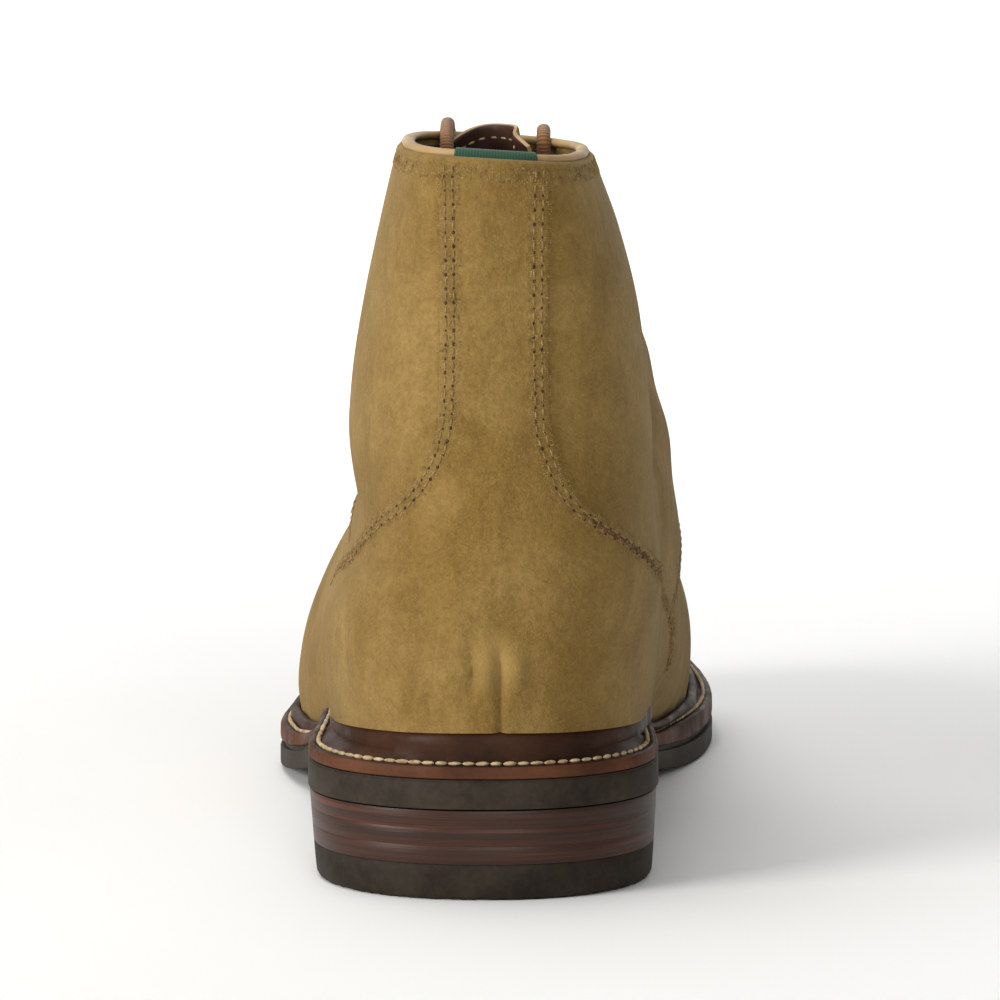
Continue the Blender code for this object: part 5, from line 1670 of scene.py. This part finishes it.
HEEL_EDGE = 0.35        # the stack stands this far inside the outsole's edge,
HEEL_TAPER = {LATERAL: 1.5, MEDIAL: 1.0}        # and is narrower at the floor by this much a side
HEEL_TAPER_BACK = 0.8


def heel_ring(ring, inset, z, breast=11, rough=0.0, seed=3):
    """Outline of a heel piece at one height: the sole's back outline, drawn in towards the floor,
    and the hollow breast."""
    side = np.where(ring.ways[:, 0] < 0, HEEL_TAPER[LATERAL], HEEL_TAPER[MEDIAL])
    taper = side * ring.ways[:, 0] ** 2 + HEEL_TAPER_BACK * ring.ways[:, 1] ** 2
    reach = ring.edge - HEEL_EDGE - taper * (1 - z / STACK_TOP) - inset
    spot = ring.pivots + ring.ways * reach[:, None]
    half = ring.count // 2
    lateral = [i for i in range(half + 1) if ring.pivots[i, 1] <= BREAST_Y + 0.01]
    medial = [i for i in range(ring.count - 1, half, -1) if ring.pivots[i, 1] <= BREAST_Y + 0.01]
    order = lateral[::-1] + medial
    line = spot[order]
    first, last = line[0], line[-1]
    share = np.linspace(1, 0, breast + 2)[1:-1]
    front = np.column_stack((first[0] + (last[0] - first[0]) * share,
                             BREAST_Y - BREAST_HOLLOW * (1 - (2 * share - 1) ** 2)))
    line = np.vstack((line, front))
    height = np.full(len(line), float(z))
    if rough:
        random = np.random.default_rng(seed)
        height = height + rough * random.uniform(0, 1, len(line)) ** 2
    return np.column_stack((line, height))


def heel_piece(ring, name, levels, material, slot, node, rough=0.0):
    """A flat heel piece from (z, inset) levels, bottom to top."""
    rings = np.array([heel_ring(ring, inset, z, rough=rough if k < 2 else 0.0, seed=3 + k)
                      for k, (z, inset) in enumerate(levels)])
    count = rings.shape[1]
    first = list(range(count))
    last = [(len(levels) - 1) * count + m for m in first]
    faces = [first[::-1]] + level_faces(len(levels), count).tolist() + [last]
    show(build(name, rings.reshape(-1, 3), faces, material), slot, node)


def build_heel(ring, stack, top_piece):
    heel_piece(ring, "heel_top_piece_rubber",
               ((0.0, 0.9), (0.3, 0.45), (1.2, 0.08), (4.0, 0.0), (TOP_PIECE - 0.5, 0.0),
                (TOP_PIECE - 0.15, 0.2)), top_piece, "grey_brown_rubber", "heel_top_piece", rough=0.45)
    lift = (STACK_TOP - TOP_PIECE) / LIFTS
    for k in range(LIFTS):
        low = TOP_PIECE + k * lift
        heel_piece(ring, f"heel_lift_{k + 1}_leather",
                   ((low - 0.05, 0.05), (low + 0.12, 0.0), (low + 0.5 * lift, -0.02 + 0.015 * k),
                    (low + lift - 0.15, 0.0), (low + lift - 0.06, 0.04)), stack,
                   "stacked_heel_leather", f"heel_lift_{k + 1}")


def build_insole(ring, material):
    """Footbed inside the upper, with its filling down between the welt's inner edges."""
    plug = ring.foot - WELT_INNER - GAP
    bed = ring.foot - WALL - 0.5
    lines = ring.lines((plug, rubber_top, GAP), (plug, welt_top, GAP), (bed, welt_top, GAP),
                       (bed, welt_top, INSOLE - 0.4), (bed - 0.5, welt_top, INSOLE + GAP))
    show(loops("footbed", lines, material, caps=True), "brown_lining_leather", "insole")


# ---- seams ---------------------------------------------------------------------------------------
# Rows of stitches: their insets, then pitch, half width and share of the pitch of each thread.
COUNTER_ROWS, COUNTER_STITCH = (1.3, 2.85), (2.95, 0.25, 0.27)
QUARTER_ROWS, QUARTER_STITCH = (2.0, 3.7), (3.0, 0.30, 0.36)

# Bands of loose fibres: from and to, inwards from the edge, count, depth under the face, seed.
COUNTER_FRAY = ((0.1, 4.2, 2600, 0.0, 71), (-0.5, 0.5, 900, 0.35, 75))
QUARTER_FRAY = ((-0.2, 1.0, 900, 0.15, 81),)
COLLAR_BIT = (0.60, 0.22, 0.18)     # half sizes of a bit of thread under the roll

# A thin dark strip of painted shade lies between the counter's medial rows where they turn forwards.
SEAM_SHADE_INSET = 2.05
SEAM_SHADE_LOW, SEAM_SHADE_HIGH, SEAM_SHADE_BEYOND = 62, 81, 8
SEAM_SHADE_SECTION = ((-0.8, -0.1), (-0.55, 0.04), (0.0, 0.08), (0.55, 0.04), (0.8, -0.1), (0.0, -0.2))


def sew(name, rows, thread_material, hole_shade_material):
    """All rows of one seam as two pieces: the threads and the painted shade of their needle holes."""
    threads, holes = zip(*[stitches(*row) for row in rows])
    show(build(f"{name}_threads", *merged(threads), thread_material, sharp=80), "tan_cord")
    show(build(f"{name}_holes", *merged(holes), hole_shade_material, sharp=80), "brown_lining_leather")


def rows_beside(edge, side, insets, stitch, lift, seed):
    """Rows of stitches inside an edge of one side, as sew() takes them."""
    return [(beside(edge, -side * inset, 0.0), lift, *stitch, seed + k)
            for k, inset in enumerate(insets)]


def frayed(edge, side, bands, lift):
    """Bands of loose fibres along an edge of one side."""
    return [fibres(edge, -side * near, -side * far, count, lift - sunk, seed + side)
            for near, far, count, sunk, seed in bands]


def sew_counter(edges, tone_thread, holes):
    """The counter's rows. Returns the fibres of its raw edges."""
    rows, raw = [], []
    for side, edge in edges.items():
        rows += rows_beside(edge, side, COUNTER_ROWS, COUNTER_STITCH, COUNTER_LIFT, 11 + 5 * side)
        raw += frayed(edge, side, COUNTER_FRAY, COUNTER_LIFT)
    sew("counter_seam", rows, tone_thread, holes)
    return raw


def paint_seam_shade(edge, seam_shade):
    """The strip of painted shade between the counter's medial rows."""
    line = beside(edge, -SEAM_SHADE_INSET, 0.0)
    line = line[(line[:, 2] > SEAM_SHADE_LOW) & (line[:, 2] < SEAM_SHADE_HIGH) & (line[:, 0] > SEAM_SHADE_BEYOND)]
    line = smooth_route(line[::3], 0.8)
    ways = normals(line)
    side = unit(np.cross(ways, unit(np.gradient(line, axis=0))))
    high = (COUNTER_LIFT + relief(line) - 0.02)[:, None]
    fade = np.sin(np.pi * np.linspace(0.03, 0.97, len(line)))[:, None] ** 0.4
    rings = np.stack([line + side * out * fade + ways * (high + up) for out, up in SEAM_SHADE_SECTION],
                     axis=1)
    show(build("counter_seam_shade_strip", *capped_tube(rings), seam_shade), "sand_suede")


def sew_quarters(quarters, tone_thread, holes):
    """Two rows round each quarter's free edge. Returns the fibres of those edges."""
    rows, raw = [], []
    for side, (throat, lower) in quarters.items():
        edge = eased(np.vstack((throat, lower[::-1])))
        rows += rows_beside(edge, side, QUARTER_ROWS, QUARTER_STITCH, QUARTER_LIFT, 31 + side)
        raw += frayed(edge, side, QUARTER_FRAY, QUARTER_LIFT)
    sew("quarter_seam", rows, tone_thread, holes)
    return raw


def sew_collar():
    """Fibres and short bits of thread under the roll: two lists of parts."""
    places, _, columns = collar_path()
    angle = np.array([c.side * c.station for c in columns])
    row = onto(places + dip(places) + (0, 0, 0.2))
    random = np.random.default_rng(51)
    first, last = -STRIP_ANGLE[LATERAL], STRIP_ANGLE[MEDIAL]
    raw, bits = [], []
    for low, high, lift in ((-999, first, QUARTER_LIFT), (first, last, COUNTER_LIFT),
                            (last, 999, QUARTER_LIFT)):
        part = row[(angle >= low) & (angle <= high)]
        raw.append(fibres(part, 0.0, -3.2, int(14 * run_of(part)[-1]), lift, 91, reach=(0.2, 0.6)))
        at, ahead = respaced(part, 1.9)
        at = onto(at - np.array((0, 0, 1.0)) * random.uniform(0, 1.0, (len(at), 1)))
        ways = normals(at)
        turn = np.cross(ways, ahead) * random.uniform(-1.2, 1.2, (len(at), 1))
        sizes = random.uniform(0.4, 1.1, (len(at), 1)) * np.array(COLLAR_BIT)
        spot = at + ways * (lift + relief(at) + 0.02)[:, None]
        bits.append(scatter(spot, ahead + turn, ways, sizes))
    return raw, bits


def sew_upper(edges, quarters, tone_thread, holes, fibre, seam_shade):
    """All seams of the shaft with their raw edges."""
    raw = sew_counter(edges, tone_thread, holes)
    # Painted shade between the counter's medial rows.
    paint_seam_shade(edges[MEDIAL], seam_shade)
    raw += sew_quarters(quarters, tone_thread, holes)
    under_roll, bits = sew_collar()
    show(build("suede_raw_fibres", *merged(raw + under_roll), fibre, sharp=80), "sand_suede")
    show(build("collar_seam_threads", *merged(bits), tone_thread, sharp=80), "tan_cord")


# ---- studio --------------------------------------------------------------------------------------
CAMERA_SPOT, CAMERA_AIM = (11.4, -1006.7, 190.0), (3.4, 20.0, 83.0)     # mm, in the shoe's frame
CAMERA_LENS, CAMERA_SENSOR = 174.7, 36.0

# The floor, in metres: half width, front end, where it bends up, radius of the bend, top.
FLOOR_HALF, FLOOR_FRONT, FLOOR_BEND, FLOOR_ROUND, FLOOR_TOP = 7.0, -6.0, 3.0, 1.5, 6.0

# Area lights, in metres: name, place, aim, size, power, colour.
BOOT = (0.0, 0.0, 0.08)
LIGHTS = (
    ("key", (-1.95, -1.35, 0.80), BOOT, (1.0, 1.0), 58.0, (1.0, 0.98, 0.95)),
    ("fill", (0.35, -2.5, 0.9), BOOT, (1.0, 1.2), 24.0, (0.98, 0.99, 1.0)),
    ("top", (-0.5, 0.3, 2.3), BOOT, (1.8, 1.8), 34.0, (1.0, 1.0, 1.0)),
    ("backdrop", (0.0, 1.3, 2.4), (0.0, 4.2, 0.9), (3.0, 1.2), 120.0, (1.0, 1.0, 1.0)),
)
SURROUND = 0.20         # strength of the white light from all round


def point_at(made, spot, aim):
    """Stands a camera or light at a spot and turns it to its aim."""
    made.location = spot
    made.rotation_euler = Vector(np.subtract(aim, spot)).to_track_quat("-Z", "Y").to_euler()


def add_camera():
    """The photograph's view: behind the boot, just to its inside, a little above."""
    data = bpy.data.cameras.new("view")
    data.sensor_width = CAMERA_SENSOR
    data.lens = CAMERA_LENS
    data.clip_end = 30.0
    made = link("view", data)
    point_at(made, place(CAMERA_SPOT), place(CAMERA_AIM))
    bpy.context.scene.camera = made


def add_floor():
    """A pale floor that curves up into a backdrop."""
    profile = [(FLOOR_FRONT, 0.0), (FLOOR_BEND, 0.0)]
    for k in range(1, 17):
        turn = 0.5 * math.pi * k / 16
        profile.append((FLOOR_BEND + FLOOR_ROUND * math.sin(turn),
                        FLOOR_ROUND - FLOOR_ROUND * math.cos(turn)))
    profile.append((FLOOR_BEND + FLOOR_ROUND, FLOOR_TOP))
    points = [(x, y, z) for x in (-FLOOR_HALF, FLOOR_HALF) for y, z in profile]
    n = len(profile)
    faces = [(k, n + k, n + k + 1, k + 1) for k in range(n - 1)]
    mesh = bpy.data.meshes.new("studio_floor")
    mesh.from_pydata(points, [], faces)
    mesh.shade_smooth()
    p = Paint("pale_studio_floor", roughness=0.75, specular=0.25)
    tone = p.noise(3, 3.0, 0.5)
    p.set(Base_Color=p.mix(p.between(tone, 0.3, 0.7), (0.80, 0.80, 0.79), (0.84, 0.84, 0.83)))
    mesh.materials.append(p.material)
    link("studio_floor", mesh)


def add_lights():
    world = bpy.data.worlds.new("studio")
    world.use_nodes = True
    back = world.node_tree.nodes["Background"]
    back.inputs["Color"].default_value = (1.0, 1.0, 1.0, 1.0)
    back.inputs["Strength"].default_value = SURROUND
    bpy.context.scene.world = world
    bpy.context.scene.view_settings.view_transform = "Standard"
    for name, spot, aim, size, power, colour in LIGHTS:
        data = bpy.data.lights.new(name, "AREA")
        data.shape = "RECTANGLE"
        data.size, data.size_y = size
        data.energy = power
        data.color = colour
        point_at(link(name, data), spot, aim)


# ---- assembly ------------------------------------------------------------------------------------
def main():
    """Camera and cords first, then the other pieces, the floor and the lights."""
    add_camera()
    cord = cloth("twisted_tan_cord", (0.165, 0.072, 0.022), (0.30, 0.145, 0.050), 1.6)
    tip = thread("lace_tip", (0.10, 0.045, 0.018), (0.17, 0.080, 0.032), 0.35)
    build_lace_ends(cord, tip)
    nap = suede()
    lining = smooth_leather("reddish_brown_lining", (0.030, 0.0115, 0.0065), (0.062, 0.026, 0.015), 0.55)
    tan = smooth_leather("tan_rolled_edge", (0.30, 0.190, 0.078), (0.43, 0.290, 0.135), 0.5, 0.3)
    # One welt leather in two copies: darker for painted shade on the rib and top, lighter for painted
    # light on the edge band.
    welt_shaded = smooth_leather("welt_leather_shaded", (0.020, 0.0080, 0.0036), (0.048, 0.0175, 0.0075), 0.5, 0.10)
    welt_lit = smooth_leather("welt_leather_lit_edge", (0.048, 0.0185, 0.0100), (0.105, 0.0400, 0.0180),
                             0.55, 0.08)
    pale = thread("pale_thread", (0.24, 0.165, 0.085), (0.52, 0.40, 0.24))
    tone = thread("sand_thread", (0.150, 0.090, 0.027), (0.27, 0.175, 0.062))
    fibre = thread("suede_fibre", (0.105, 0.060, 0.017), (0.38, 0.26, 0.105), 0.95)
    seam = thread("apron_thread", (0.20, 0.12, 0.040), (0.40, 0.28, 0.12))
    # Dark brown of painted shade, for needle holes and the eyelets' openings.
    hole = thread("needle_hole_shade", (0.022, 0.0110, 0.0045), (0.050, 0.0260, 0.0105), 0.9)
    # Dark reddish brown of painted shade, for the strip between the counter's medial rows.
    seam_shade = thread("painted_seam_shade", (0.050, 0.021, 0.008), (0.150, 0.070, 0.026), 0.9)
    metal = brass()
    tape = cloth("green_ribbed_weave", (0.012, 0.044, 0.024), (0.020, 0.072, 0.040), 1.6, 0.3)
    build_upper([nap, lining])
    quarters = {LATERAL: build_quarter(LATERAL, "lateral", nap),
                MEDIAL: build_quarter(MEDIAL, "medial", nap)}
    edges = counter_edges()
    build_counter(edges, nap)
    build_apron(nap, seam)
    build_tongue([nap, lining, tan], pale)
    build_lip(nap)
    build_binding(tan)
    build_tape(tape)
    build_lacing(cord, metal, hole)
    sew_upper(edges, quarters, tone, hole, fibre, seam_shade)
    ring = Ring()
    build_outsole(ring, rubber("grey_brown_sole_rubber", 1.0))
    build_welt(ring, welt_shaded, welt_lit, pale)
    build_heel(ring, stacked_leather(), rubber("heel_top_rubber", 0.8))
    build_insole(ring, lining)
    add_floor()
    add_lights()


main()
bpy.context.view_layer.update()
